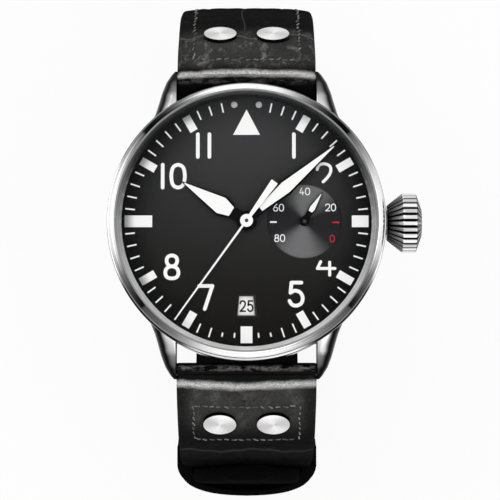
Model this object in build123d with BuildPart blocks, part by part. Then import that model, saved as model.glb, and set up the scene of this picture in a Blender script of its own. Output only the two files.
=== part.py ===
"""A pilot's wristwatch: case, crown, dial, hands, self-winding movement and buckled leather strap.

Frame: +Z out through the dial, +Y to twelve o'clock, +X to three o'clock and the crown.
The origin is the centre of the case back's outer face. All lengths are millimetres.
"""

from build123d import *
from math import acos, atan2, cos, degrees, hypot, pi, radians, sin, sqrt
import os

os.makedirs("parts", exist_ok=True)

# Clearances shared by the whole watch
cut_overrun = 1.0
running_gap = 0.05
wheel_gap = 0.08
leather_gap = 0.15

# Case
case_diameter = 43.5
case_waist_height = 2.9
case_undercut = 1.25
case_foot_diameter = case_diameter - 2 * case_undercut
case_wall = 2.05
case_bore_diameter = case_diameter - 2 * case_wall
movement_ring_width = 2.7
movement_diameter = case_bore_diameter - 2 * movement_ring_width
flange_height = 1.2
dial_top_height = 8.3
case_top_height = 9.0
bezel_top_height = 11.2
bezel_step = 0.3
bezel_diameter = case_diameter - 2 * bezel_step
bezel_thickness = 1.0
case_top_bore_diameter = bezel_diameter - 2 * bezel_thickness
bezel_rim_width = 0.55
bezel_bevel_height = 0.9
gasket_width = 0.2

# Lugs
lug_gap = 22.0
lug_overhang = 2.65
lug_tip_reach = case_diameter / 2 + lug_overhang
lug_top_height = 8.2
lug_tip_height = 3.9
lug_foot_height = 0.9
lug_root_half_width = 15.4

# Crystal and inner ring
crystal_seat_height = 10.2
crystal_edge_thickness = 0.9
crystal_bevel = 0.5
ring_mouth_lip = 0.45
ring_mouth_diameter = case_top_bore_diameter - 2 * ring_mouth_lip
ring_slope_width = 0.5
dial_opening_diameter = ring_mouth_diameter - 2 * ring_slope_width

# Case back
back_flange_margin = 0.55
back_flange_diameter = case_foot_diameter - 2 * back_flange_margin
back_plug_height = 2.6
back_glass_diameter = 29.0
back_glass_ledge = 0.5
back_glass_sink = 0.35
back_glass_thickness = 1.2
wrench_notch_count = 6
wrench_notch_width = 2.6
wrench_notch_depth = 0.5

# Crown and stem
stem_height = 5.6
stem_diameter = 1.2
stem_inner_end = 8.1
crown_standoff = 0.2
crown_start = case_diameter / 2 + crown_standoff
crown_neck_diameter = 5.5
crown_diameter = 9.25
crown_cone_length = 2.45
crown_rim_length = 2.1
crown_nose_length = 0.9
crown_nose_diameter = 4.4
crown_flutes = 28
crown_flute_depth = 0.34
crown_recess_diameter = 4.0
crown_recess_depth = 2.65
tube_diameter = 3.0
tube_reach = 1.9
crown_gasket_length = 0.5
crown_travel = 1.2

# Dial
dial_thickness = 0.4
dial_margin = 0.3
subdial_offset = 9.02
subdial_diameter = 11.64
subdial_depth = 0.12
window_height = 3.1
window_inner_width = 2.25
window_outer_width = 2.8
marker_thickness = 0.06
baton_margin = 0.5
baton_outer_radius = dial_opening_diameter / 2 - baton_margin
baton_length = 2.6
baton_width = 1.28
quarter_width = 1.83
quarter_length = 2.6
nine_length = 4.3
triangle_base_radius = 13.6
triangle_tip_radius = 17.6
triangle_width = 4.2
dot_margin = 1.05
dot_radius_from_centre = dial_opening_diameter / 2 - dot_margin
dot_diameter = 1.0
dot_rise = 0.18
dot_swing = 6.0

# Date disc
date_disc_margin = 2.0
date_disc_outer_diameter = movement_diameter - 2 * date_disc_margin
date_disc_width = 3.5
date_disc_inner_diameter = date_disc_outer_diameter - 2 * date_disc_width
window_inset = 1.8
window_offset = date_disc_outer_diameter / 2 - window_inset
date_disc_thickness = 0.25
date_disc_drop = 0.1

# Hands: heights of their undersides, lengths and headings clockwise from twelve
hand_thickness = 0.16
hour_hand_height = 8.78
minute_hand_height = 9.16
seconds_hand_height = 9.56
reserve_hand_height = 8.5
reserve_hand_thickness = 0.12
hour_heading = 301.4
minute_heading = 49.5
seconds_heading = 215.8
reserve_heading = 31.7
hour_length = 11.9
hour_hub_radius = 1.6
minute_length = 18.9
minute_hub_radius = 1.35
seconds_length = 18.3
seconds_hub_radius = 1.0
seconds_tail_length = 7.5
reserve_length = 5.35
reserve_hub_radius = 0.8

# Movement
bridge_margin = 2.3
bridge_diameter = movement_diameter - 2 * bridge_margin
cock_finger_length = 1.4
plate_height = 5.4
plate_top_height = 7.2
bridge_height = 2.9
bridge_thickness = 0.6
bridge_foot_width = 1.0
wheel_thickness = 0.14
arbor_radius = 0.16
pinion_length = 0.3
rotor_height = 1.85
rotor_thickness = 0.3
rotor_rim_thickness = 0.65
rotor_margin = 0.5
rotor_radius = bridge_diameter / 2 - rotor_margin
rotor_rim_width = 2.6
rotor_span = 176.0
rotor_post_radius = 1.2
bearing_radius = 2.2
screw_head_radius = 0.8
screw_head_height = 0.35

# Train: tooth counts and centre distances
barrel_teeth = 48
centre_pinion_leaves = 8
centre_wheel_teeth = 48
third_pinion_leaves = 6
third_wheel_teeth = 45
fourth_pinion_leaves = 6
fourth_wheel_teeth = 60
escape_pinion_leaves = 6
escape_teeth = 15
cannon_pinion_leaves = 8
minute_wheel_teeth = 24
minute_pinion_leaves = 6
hour_wheel_teeth = 24
ratchet_teeth = 28
crown_wheel_teeth = 20
winding_teeth = 10
reserve_teeth = 12
train_distance = 5.6
barrel_distance = 6.53
barrel_angle = 60.0
third_angle = 195.0
escape_angle = 285.0
motion_distance = 3.2
motion_angle = 110.0
balance_distance = 9.6
balance_angle = 300.0
fork_share = 0.58

# Train: heights of the undersides of its layers
fourth_wheel_height = 3.7
third_wheel_height = 4.0
centre_wheel_height = 4.3
barrel_height = 4.52
barrel_drum_height = 0.78
escape_height = 4.9
balance_height = 4.36
balance_rim_height = 0.26
hairspring_height = 3.95

# Balance, escapement and winding work
balance_radius = 3.9
balance_rim_width = 0.5
hairspring_inner_radius = 0.7
hairspring_pitch = 0.7
hairspring_half_turns = 6
hairspring_wire = 0.1
escape_radius = 2.0
winding_radius = 1.4
crown_wheel_x = 9.9
crown_wheel_y = 2.44
crown_wheel_radius = 3.05
ratchet_radius = 4.25
tooth_root_share = 0.5
tooth_tip_share = 0.42

# Strap
strap_width = 22.0
strap_end_width = 18.0
bar_setback = 1.2
bar_reach = lug_tip_reach - bar_setback
bar_height = 3.3
bar_diameter = 1.5
bar_tip_length = 0.9
strap_end_radius = 1.4
lining_thickness = 1.0
leather_thickness = 1.6
leather_pad_thickness = 3.1
leather_edge_share = 0.62
strap_start_heading = 20.0
strap_slope = 56.0
shoulder_bend_radius = 6.0
flank_length = 9.0
side_bend_radius = 32.0
under_bend_radius = 20.0
crossing_bend_radius = 20.0
tail_sweep = 11.0
buckle_bar_y = 4.0
keeper_wall = 0.8
strap_tip_length = 7.0
tip_narrowing_share = 0.6
fixed_keeper_y = -8.5
fixed_keeper_width = 5.0
free_keeper_sweep = 24.0
free_keeper_rise = 4.2
keeper_edge_share = 0.75
keeper_bow_shares = [(1, 0), (0.94, 0.36), (0.81, 0.66), (0.58, 0.87), (0.3, 0.97)]
free_keeper_side = 0.6
free_keeper_wall = 0.9
rivet_diameter = 5.3
rivet_height = 0.9
rivet_spacing = 8.5
rivet_shank_diameter = 1.8
rivet_distance = 7.9
adjusting_hole_diameter = 1.8
adjusting_hole_pitch = 6.5
adjusting_hole_count = 3

# Buckle
buckle_inner_width = 19.0
buckle_arm_width = 2.1
buckle_thickness = 2.2
buckle_reach = 17.6
buckle_crossbar_width = 2.6
buckle_bar_diameter = 1.4
buckle_eye_radius = 1.5
buckle_wrap_radius = 1.3
tongue_eye_wall = 0.6
tongue_width = 1.8
tongue_thickness = 1.1
tongue_swing = 15.0


def publish(piece, name):
    """Label a finished piece and write it under its node's name."""
    piece.part.label = name
    export_step(piece.part, f"parts/{name}.step")


def on_dial(radius, heading):
    """The x and y of a point at a radius and a heading clockwise from twelve o'clock."""
    return radius * sin(radians(heading)), radius * cos(radians(heading))


def at_angle(radius, angle):
    """The x and y of a point at a radius and an angle anticlockwise from three o'clock."""
    return radius * cos(radians(angle)), radius * sin(radians(angle))


def teeth_outline(teeth, pitch_radius):
    """Corners of a toothed rim, with one root and one tip for each tooth."""
    depth = 2 * pitch_radius / teeth
    corners = []
    for tooth in range(teeth):
        corners.append(at_angle(pitch_radius - tooth_root_share * depth, 360 * tooth / teeth))
        corners.append(
            at_angle(pitch_radius + tooth_tip_share * depth, 360 * (tooth + 1 / 2) / teeth)
        )
    return corners


def gear_radii(distance, wheel_teeth, pinion_leaves):
    """Pitch radii of a wheel and a pinion that mesh at a centre distance."""
    module = 2 * distance / (wheel_teeth + pinion_leaves)
    return module * wheel_teeth / 2, module * pinion_leaves / 2


def make_wheel(centre, layers, arbor, arbor_ends, bore_radius=0, spokes=None):
    """A going wheel: toothed layers on one arbor, each given as (teeth, pitch radius, base, top)."""
    arbor_low, arbor_high = arbor_ends
    with BuildPart() as wheel:
        for teeth, pitch_radius, low, high in layers:
            with BuildSketch(Plane((*centre, low))):
                with BuildLine():
                    Polyline(*teeth_outline(teeth, pitch_radius), close=True)
                make_face()
            extrude(amount=high - low)
        with BuildSketch(Plane((*centre, arbor_low))):
            Circle(arbor)
        extrude(amount=arbor_high - arbor_low)
        if spokes:
            start, end, low, high = spokes
            with BuildSketch(Plane((*centre, low))):
                with PolarLocations((start + end) / 2, 4):
                    Trapezoid(2 * end - spoke_width, end - start, 45, rotation=90)
            extrude(amount=high - low, mode=Mode.SUBTRACT)
        if bore_radius:
            with BuildSketch(Plane((*centre, arbor_low - cut_overrun))):
                Circle(bore_radius)
            extrude(amount=arbor_high - arbor_low + 2 * cut_overrun, mode=Mode.SUBTRACT)
    return wheel


def make_ring(outer_radius, inner_radius, low, high):
    """A plain ring about the dial's axis."""
    with BuildPart() as ring:
        with BuildSketch(Plane.XY.offset(low)):
            Circle(outer_radius)
            Circle(inner_radius, mode=Mode.SUBTRACT)
        extrude(amount=high - low)
    return ring


def faceted(rings):
    """A closed solid with flat faces through rings that have alike numbers of corners."""
    faces = [Face(Wire.make_polygon(rings[0])), Face(Wire.make_polygon(rings[-1]))]
    for near, far in zip(rings, rings[1:]):
        for corner, here in enumerate(near):
            faces.append(Face(Wire.make_polygon([here, near[corner - 1], far[corner - 1]])))
            faces.append(Face(Wire.make_polygon([here, far[corner - 1], far[corner]])))
    return Solid(Shell(faces))


# Case middle: a turned ring with four lugs, bored for the movement, stem and spring bars
case_radius = case_diameter / 2
case_bore_radius = case_bore_diameter / 2
top_bore_radius = case_top_bore_diameter / 2
lug_inner = lug_gap / 2
lug_neck = 0.58 * case_radius
lug_length = lug_tip_reach - lug_neck
lug_root_width = lug_root_half_width - lug_inner
lug_plan_shares = [(0.12, 1), (0.34, 0.9), (0.56, 0.7), (0.74, 0.42), (1, 0.22)]

with BuildPart() as lugs:
    with BuildSketch(Plane.XY):
        with BuildLine():
            Polyline(
                (lug_inner, lug_neck),
                (lug_inner, lug_tip_reach),
                *[
                    (lug_inner + x * lug_root_width, lug_neck + y * lug_length)
                    for x, y in lug_plan_shares
                ],
                (lug_root_half_width, lug_neck),
                close=True,
            )
        make_face()
        mirror(about=Plane.XZ)
        mirror(about=Plane.YZ)
    extrude(amount=case_top_height)
    with BuildSketch(Plane.YZ):
        with BuildLine():
            lug_crest = ThreePointArc(
                (0.6 * case_radius, lug_top_height),
                (0.9 * case_radius, (lug_top_height + lug_tip_height) / 2 + 1.1 * lug_foot_height),
                (lug_tip_reach, lug_tip_height),
            )
            Polyline(
                lug_crest @ 1,
                (lug_tip_reach, 1.9 * lug_foot_height),
                (lug_tip_reach - lug_foot_height, lug_foot_height),
                (0.9 * case_radius, 1.3 * lug_foot_height),
                (0.6 * case_radius, 1.5 * lug_foot_height),
                lug_crest @ 0,
            )
        make_face()
        mirror(about=Plane.YZ)
    extrude(amount=case_radius, both=True, mode=Mode.INTERSECT)

with BuildPart() as case_middle:
    with BuildSketch(Plane.XZ):
        with BuildLine():
            Polyline(
                (0, flange_height),
                (case_foot_diameter / 2, flange_height),
                (case_radius, case_waist_height),
                (case_radius, case_top_height),
                (0, case_top_height),
                close=True,
            )
        make_face()
    revolve(axis=Axis.Z)
    add(lugs.part)
    with BuildSketch(Plane.XY.offset(flange_height - cut_overrun)):
        Circle(case_bore_radius)
    extrude(amount=dial_top_height - flange_height + cut_overrun, mode=Mode.SUBTRACT)
    with BuildSketch(Plane.XY.offset(dial_top_height)):
        Circle(top_bore_radius)
    extrude(amount=case_top_height - dial_top_height + cut_overrun, mode=Mode.SUBTRACT)
    with BuildSketch(Plane.YZ.offset(case_radius / 2)):
        with Locations((0, stem_height)):
            Circle(tube_diameter / 2)
    extrude(amount=case_radius, mode=Mode.SUBTRACT)
    with BuildSketch(Plane.YZ):
        with Locations((bar_reach, bar_height), (-bar_reach, bar_height)):
            Circle(bar_diameter / 2)
    extrude(amount=lug_inner + bar_tip_length, both=True, mode=Mode.SUBTRACT)
publish(case_middle, "case_middle")

# Bezel: a polished ring pressed onto the case middle round the crystal and its gasket
bezel_radius = bezel_diameter / 2
with BuildPart() as bezel:
    with BuildSketch(Plane.XZ):
        with BuildLine():
            bezel_wall = Polyline(
                (top_bore_radius, case_top_height),
                (bezel_radius, case_top_height),
                (bezel_radius, bezel_top_height - bezel_bevel_height),
            )
            Polyline(
                bezel_wall @ 1,
                (top_bore_radius + bezel_rim_width, bezel_top_height),
                (top_bore_radius, bezel_top_height),
                (top_bore_radius, case_top_height),
            )
        make_face()
    revolve(axis=Axis.Z)
publish(bezel, "bezel")

# Inner ring: a polished cone between the dial's edge and the crystal
with BuildPart() as rehaut_ring:
    with BuildSketch(Plane.XZ):
        with BuildLine():
            Polyline(
                (dial_opening_diameter / 2, dial_top_height),
                (top_bore_radius, dial_top_height),
                (top_bore_radius, crystal_seat_height),
                (ring_mouth_diameter / 2, crystal_seat_height),
                close=True,
            )
        make_face()
    revolve(axis=Axis.Z)
publish(rehaut_ring, "rehaut_ring")

crystal_radius = top_bore_radius - gasket_width
crystal_edge_height = crystal_seat_height + crystal_edge_thickness
with BuildPart() as crystal:
    with BuildSketch(Plane.XY.offset(crystal_seat_height)):
        Circle(crystal_radius)
    extrude(amount=crystal_edge_thickness + crystal_bevel)
    chamfer(crystal.edges().group_by(Axis.Z)[-1], length=crystal_bevel)
publish(crystal, "crystal")

crystal_gasket = make_ring(
    top_bore_radius, crystal_radius, crystal_seat_height, crystal_edge_height
)
publish(crystal_gasket, "crystal_gasket")

# Case back: a screwed ring with wrench notches that carries a glass over the movement
glass_radius = back_glass_diameter / 2
with BuildPart() as case_back:
    with BuildSketch(Plane.XY):
        Circle(back_flange_diameter / 2)
        with PolarLocations(back_flange_diameter / 2, wrench_notch_count):
            Rectangle(2 * wrench_notch_depth, wrench_notch_width, mode=Mode.SUBTRACT)
    extrude(amount=flange_height)
    with BuildSketch(Plane.XY.offset(flange_height)):
        Circle(case_bore_radius - running_gap)
    extrude(amount=back_plug_height - flange_height)
    with BuildSketch(Plane.XY):
        Circle(glass_radius - back_glass_ledge)
    extrude(amount=flange_height, mode=Mode.SUBTRACT)
    with BuildSketch(Plane.XY.offset(back_glass_sink)):
        Circle(glass_radius)
    extrude(amount=back_plug_height, mode=Mode.SUBTRACT)
publish(case_back, "case_back")

with BuildPart() as back_glass:
    with BuildSketch(Plane.XY.offset(back_glass_sink)):
        Circle(glass_radius)
    extrude(amount=back_glass_thickness)
    with BuildSketch(Plane.XY):
        Circle(glass_radius - back_glass_ledge - running_gap)
    extrude(amount=back_glass_sink)
publish(back_glass, "back_glass")

# Movement ring: the spacer that centres the movement in the case
movement_radius = movement_diameter / 2
dial_base_height = dial_top_height - dial_thickness
with BuildPart() as movement_ring:
    with BuildSketch(Plane.XY.offset(back_plug_height)):
        Circle(case_bore_radius)
        Circle(movement_radius, mode=Mode.SUBTRACT)
    extrude(amount=dial_base_height - back_plug_height)
    with BuildSketch(Plane.YZ.offset(movement_radius / 2)):
        with Locations((0, stem_height)):
            Circle(tube_diameter / 2)
    extrude(amount=case_bore_radius, mode=Mode.SUBTRACT)
publish(movement_ring, "movement_ring")

# Crown: a double cone whose flutes run over both slopes
crown_radius = crown_diameter / 2
crown_stations = [
    (0, crown_neck_diameter / 2),
    (crown_cone_length, crown_radius),
    (crown_cone_length + crown_rim_length, crown_radius),
    (crown_cone_length + crown_rim_length + crown_nose_length, crown_nose_diameter / 2),
]
crown_end = crown_start + crown_stations[-1][0]
crown_rings = []
for reach, radius in crown_stations:
    valley = radius * (1 - crown_flute_depth / crown_radius)
    crown_plane = Plane((crown_start + reach, 0, stem_height), x_dir=(0, 1, 0), z_dir=(1, 0, 0))
    crown_rings.append([
        crown_plane.from_local_coords(
            (*at_angle(radius if half % 2 else valley, 180 * half / crown_flutes), 0)
        )
        for half in range(2 * crown_flutes)
    ])
with BuildPart() as crown:
    add(faceted(crown_rings))
    with BuildSketch(Plane((crown_start, 0, stem_height), x_dir=(0, 1, 0), z_dir=(1, 0, 0))):
        Circle(crown_recess_diameter / 2)
    extrude(amount=crown_recess_depth, mode=Mode.SUBTRACT)
    with BuildSketch(Plane((crown_start, 0, stem_height), x_dir=(0, 1, 0), z_dir=(1, 0, 0))):
        Circle(stem_diameter / 2)
    extrude(amount=crown_stations[2][0], mode=Mode.SUBTRACT)
publish(crown, "crown")


def turned_along_stem(low, high, outer_radius, inner_radius):
    """A plain turned sleeve on the stem's axis."""
    with BuildPart() as sleeve:
        with BuildSketch(Plane((low, 0, stem_height), x_dir=(0, 1, 0), z_dir=(1, 0, 0))):
            Circle(outer_radius)
            if inner_radius:
                Circle(inner_radius, mode=Mode.SUBTRACT)
        extrude(amount=high - low)
    return sleeve


tube_bore_radius = stem_diameter / 2 + running_gap
crown_tube = turned_along_stem(
    case_bore_radius, crown_start + tube_reach, tube_diameter / 2, tube_bore_radius
)
publish(crown_tube, "crown_tube")

crown_gasket = turned_along_stem(
    crown_start + running_gap,
    crown_start + running_gap + crown_gasket_length,
    crown_recess_diameter / 2,
    tube_diameter / 2 + running_gap,
)
publish(crown_gasket, "crown_gasket")

winding_stem = turned_along_stem(
    stem_inner_end, crown_start + crown_stations[2][0], stem_diameter / 2, 0
)
publish(winding_stem, "winding_stem")


def clutch_pinion(low, high, teeth, radius, bore_radius):
    """A toothed sleeve on the stem."""
    with BuildPart() as pinion:
        with BuildSketch(Plane((low, 0, stem_height), x_dir=(0, 1, 0), z_dir=(1, 0, 0))):
            with BuildLine():
                Polyline(*teeth_outline(teeth, radius), close=True)
            make_face()
            Circle(bore_radius, mode=Mode.SUBTRACT)
        extrude(amount=high - low)
    return pinion


contact_reach = sqrt((crown_wheel_radius - 3 * wheel_gap) ** 2 - crown_wheel_y**2)
winding_start = crown_wheel_x + contact_reach - winding_radius / 2
winding_end = winding_start + winding_radius
winding_pinion = clutch_pinion(
    winding_start,
    winding_end,
    winding_teeth,
    winding_radius - winding_radius / winding_teeth,
    stem_diameter / 2 + running_gap,
)
publish(winding_pinion, "winding_pinion")

sliding_pinion = clutch_pinion(
    stem_inner_end + running_gap,
    winding_start - crown_travel - running_gap,
    winding_teeth,
    winding_radius - 3 * wheel_gap,
    stem_diameter / 2,
)
publish(sliding_pinion, "sliding_pinion")

# Dial: a thin disc with a sunk sub-dial, a date window and three arbor holes
dial_radius = dial_opening_diameter / 2 + dial_margin / 2
centre_hole_radius = 0.95
reserve_hole_radius = 0.3
with BuildPart() as dial:
    with BuildSketch(Plane.XY.offset(dial_base_height)):
        Circle(dial_radius)
        Circle(centre_hole_radius, mode=Mode.SUBTRACT)
        with Locations((subdial_offset, 0)):
            Circle(reserve_hole_radius, mode=Mode.SUBTRACT)
        with BuildLine():
            window_low = -window_offset - window_height / 2
            window_high = -window_offset + window_height / 2
            Polyline(
                (-window_outer_width / 2, window_low),
                (window_outer_width / 2, window_low),
                (window_inner_width / 2, window_high),
                (-window_inner_width / 2, window_high),
                close=True,
            )
        make_face(mode=Mode.SUBTRACT)
    extrude(amount=dial_thickness)
    with BuildSketch(Plane.XY.offset(dial_top_height - subdial_depth)):
        with Locations((subdial_offset, 0)):
            Circle(subdial_diameter / 2)
    extrude(amount=subdial_depth, mode=Mode.SUBTRACT)
publish(dial, "dial")

# Hour markers: a triangle at twelve, long and broad batons at the quarters, slim ones between
quarter_batons = {9: (quarter_width, nine_length), 3: (quarter_width, quarter_length)}
quarter_batons[6] = (quarter_width, quarter_length)
with BuildPart() as dial_markers:
    with BuildSketch(Plane.XY.offset(dial_top_height)):
        with BuildLine():
            Polyline(
                (-triangle_width / 2, triangle_base_radius),
                (triangle_width / 2, triangle_base_radius),
                (0, triangle_tip_radius),
                close=True,
            )
        make_face()
        for hour in range(1, 12):
            width, length = quarter_batons.get(hour, (baton_width, baton_length))
            with PolarLocations(baton_outer_radius - length / 2, 1, start_angle=90 - 30 * hour):
                Rectangle(length, width)
    extrude(amount=marker_thickness)
publish(dial_markers, "dial_markers")

with BuildPart() as dial_dots:
    for side in (-1, 1):
        dot_x, dot_y = on_dial(dot_radius_from_centre, side * dot_swing)
        with BuildSketch(Plane((dot_x, dot_y, dial_top_height))):
            Circle(dot_diameter / 2)
        extrude(amount=dot_rise)
publish(dial_dots, "dial_dots")

date_disc = make_ring(
    date_disc_outer_diameter / 2,
    date_disc_inner_diameter / 2,
    dial_base_height - date_disc_drop - date_disc_thickness,
    dial_base_height - date_disc_drop,
)
publish(date_disc, "date_disc")


def make_hand(height, thickness, heading, shares, length, hub_radius, hole_radius, centre=(0, 0)):
    """A flat hand: a mirrored outline of (reach, half width) points, a round hub and its hole."""
    along = Plane(
        origin=(*centre, height),
        x_dir=(*on_dial(1, heading), 0),
        z_dir=(0, 0, 1),
    )
    right = [(reach * length, half * length) for reach, half in shares]
    left = [(x, -y) for x, y in reversed(right) if y > 0]
    with BuildPart() as hand:
        with BuildSketch(along):
            with BuildLine():
                Polyline(*right, *left, close=True)
            make_face()
            Circle(hub_radius)
            Circle(hole_radius, mode=Mode.SUBTRACT)
        extrude(amount=thickness)
    return hand


hour_shares = [(0, 0.085), (0.2, 0.08), (0.37, 0.145), (0.97, 0.012), (1, 0)]
minute_shares = [(0, 0.045), (0.12, 0.038), (0.42, 0.068), (0.985, 0.008), (1, 0)]
seconds_shares = [(0, 0.009), (0.97, 0.006), (1, 0)]
tail_shares = [(0, 0.03), (0.98, 0.078), (1, 0.072)]
reserve_shares = [(0, 0.1), (0.3, 0.09), (0.45, 0.115), (0.97, 0.02), (1, 0)]

seconds_arbor_radius = 0.3
cannon_radius = 0.6
hour_pipe_radius = centre_hole_radius - running_gap
reserve_arbor_radius = reserve_hole_radius - running_gap

hour_hand = make_hand(
    hour_hand_height, hand_thickness, hour_heading, hour_shares,
    hour_length, hour_hub_radius, hour_pipe_radius,
)
publish(hour_hand, "hour_hand")

minute_hand = make_hand(
    minute_hand_height, hand_thickness, minute_heading, minute_shares,
    minute_length, minute_hub_radius, cannon_radius,
)
publish(minute_hand, "minute_hand")

reserve_hand = make_hand(
    reserve_hand_height, reserve_hand_thickness, reserve_heading, reserve_shares,
    reserve_length, reserve_hub_radius, reserve_arbor_radius, (subdial_offset, 0),
)
publish(reserve_hand, "reserve_hand")

seconds_tail = make_hand(
    seconds_hand_height, hand_thickness, seconds_heading + 180, tail_shares,
    seconds_tail_length, seconds_hub_radius, seconds_arbor_radius,
)
seconds_hand = make_hand(
    seconds_hand_height, hand_thickness, seconds_heading, seconds_shares,
    seconds_length, seconds_hub_radius, seconds_arbor_radius,
)
with seconds_hand:
    add(seconds_tail.part)
publish(seconds_hand, "seconds_hand")

# Going train
barrel_centre = at_angle(barrel_distance, barrel_angle)
third_centre = at_angle(train_distance, third_angle)
escape_centre = at_angle(train_distance, escape_angle)
motion_centre = at_angle(motion_distance, motion_angle)
balance_centre = at_angle(balance_distance, balance_angle)
fork_centre = tuple(
    start + fork_share * (end - start) for start, end in zip(escape_centre, balance_centre)
)
barrel_pitch, centre_pinion_pitch = gear_radii(
    barrel_distance, barrel_teeth, centre_pinion_leaves
)
centre_pitch, third_pinion_pitch = gear_radii(
    train_distance, centre_wheel_teeth, third_pinion_leaves
)
third_pitch, fourth_pinion_pitch = gear_radii(
    train_distance, third_wheel_teeth, fourth_pinion_leaves
)
fourth_pitch, escape_pinion_pitch = gear_radii(
    train_distance, fourth_wheel_teeth, escape_pinion_leaves
)
minute_pitch, cannon_pitch = gear_radii(motion_distance, minute_wheel_teeth, cannon_pinion_leaves)
hour_pitch, minute_pinion_pitch = gear_radii(
    motion_distance, hour_wheel_teeth, minute_pinion_leaves
)
bridge_top = bridge_height + bridge_thickness
rim_width = 0.5
hub_reach = 0.95
spoke_width = 0.7
window_share = 0.75


def spoked(pitch_radius, low, hub_reach):
    """The openings of a going wheel: their inner and outer reaches and heights."""
    return hub_reach, window_share * (pitch_radius - rim_width), low, low + wheel_thickness


centre_wheel = make_wheel(
    (0, 0),
    [
        (centre_wheel_teeth, centre_pitch, centre_wheel_height, centre_wheel_height + wheel_thickness),
        (
            centre_pinion_leaves, centre_pinion_pitch,
            centre_wheel_height + wheel_thickness, barrel_height + barrel_drum_height,
        ),
    ],
    cannon_radius - running_gap,
    (centre_wheel_height, plate_top_height),
    bore_radius=seconds_arbor_radius + running_gap,
    spokes=spoked(centre_pitch, centre_wheel_height, centre_pinion_pitch + rim_width / 2),
)
publish(centre_wheel, "centre_wheel")

third_wheel = make_wheel(
    third_centre,
    [
        (third_wheel_teeth, third_pitch, third_wheel_height, third_wheel_height + wheel_thickness),
        (
            third_pinion_leaves, third_pinion_pitch,
            third_wheel_height + wheel_thickness,
            centre_wheel_height + wheel_thickness + wheel_gap,
        ),
    ],
    arbor_radius,
    (bridge_top, plate_height),
    spokes=spoked(third_pitch, third_wheel_height, hub_reach),
)
publish(third_wheel, "third_wheel")

fourth_wheel = make_wheel(
    (0, 0),
    [
        (fourth_wheel_teeth, fourth_pitch, fourth_wheel_height, fourth_wheel_height + wheel_thickness),
        (
            fourth_pinion_leaves, fourth_pinion_pitch,
            fourth_wheel_height + wheel_thickness, centre_wheel_height - wheel_gap,
        ),
    ],
    seconds_arbor_radius,
    (bridge_top, seconds_hand_height + hand_thickness),
    spokes=spoked(fourth_pitch, fourth_wheel_height, hub_reach),
)
publish(fourth_wheel, "fourth_wheel")

cannon_pinion = make_wheel(
    (0, 0),
    [(
        cannon_pinion_leaves, cannon_pitch,
        plate_top_height, plate_top_height + pinion_length,
    )],
    cannon_radius,
    (plate_top_height, minute_hand_height + hand_thickness),
    bore_radius=seconds_arbor_radius + running_gap,
)
publish(cannon_pinion, "cannon_pinion")

minute_wheel = make_wheel(
    motion_centre,
    [
        (
            minute_wheel_teeth, minute_pitch,
            plate_top_height + wheel_gap, plate_top_height + wheel_gap + wheel_thickness,
        ),
        (
            minute_pinion_leaves, minute_pinion_pitch,
            plate_top_height + wheel_gap + wheel_thickness,
            plate_top_height + pinion_length + 2 * wheel_thickness,
        ),
    ],
    arbor_radius,
    (plate_top_height, plate_top_height + pinion_length + 2 * wheel_thickness),
)
publish(minute_wheel, "minute_wheel")

hour_wheel = make_wheel(
    (0, 0),
    [(
        hour_wheel_teeth, hour_pitch,
        plate_top_height + pinion_length + wheel_gap,
        plate_top_height + pinion_length + wheel_gap + wheel_thickness,
    )],
    hour_pipe_radius,
    (plate_top_height + pinion_length + wheel_gap, hour_hand_height + hand_thickness),
    bore_radius=cannon_radius + running_gap,
)
publish(hour_wheel, "hour_wheel")

barrel_arbor_radius = 0.75
barrel_drum_radius = barrel_pitch - 0.35
with BuildPart() as mainspring_barrel:
    with BuildSketch(Plane((*barrel_centre, barrel_height))):
        Circle(barrel_drum_radius)
    extrude(amount=barrel_drum_height)
    with BuildSketch(Plane((*barrel_centre, barrel_height + barrel_drum_height - 2 * wheel_thickness))):
        with BuildLine():
            Polyline(*teeth_outline(barrel_teeth, barrel_pitch), close=True)
        make_face()
    extrude(amount=wheel_thickness)
    with BuildSketch(Plane((*barrel_centre, barrel_height - cut_overrun))):
        Circle(barrel_arbor_radius + running_gap)
    extrude(amount=barrel_drum_height + 2 * cut_overrun, mode=Mode.SUBTRACT)
publish(mainspring_barrel, "mainspring_barrel")

# Escapement and balance
club_shares = [(0.0, 0.78), (0.32, 0.78), (0.5, 1.0), (0.72, 0.97), (0.62, 0.78)]
escape_corners = []
for tooth in range(escape_teeth):
    for turn, reach in club_shares:
        escape_corners.append(at_angle(escape_radius * reach, 360 * (tooth + turn) / escape_teeth))
with BuildPart() as escape_wheel:
    with BuildSketch(Plane((*escape_centre, escape_height))):
        with BuildLine():
            Polyline(*escape_corners, close=True)
        make_face()
    extrude(amount=wheel_thickness)
    with BuildSketch(Plane((*escape_centre, fourth_wheel_height - wheel_gap))):
        with BuildLine():
            Polyline(*teeth_outline(escape_pinion_leaves, escape_pinion_pitch), close=True)
        make_face()
    extrude(amount=wheel_thickness + 2 * wheel_gap)
    with BuildSketch(Plane((*escape_centre, bridge_top))):
        Circle(arbor_radius)
    extrude(amount=plate_height - bridge_top)
publish(escape_wheel, "escape_wheel")

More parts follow.
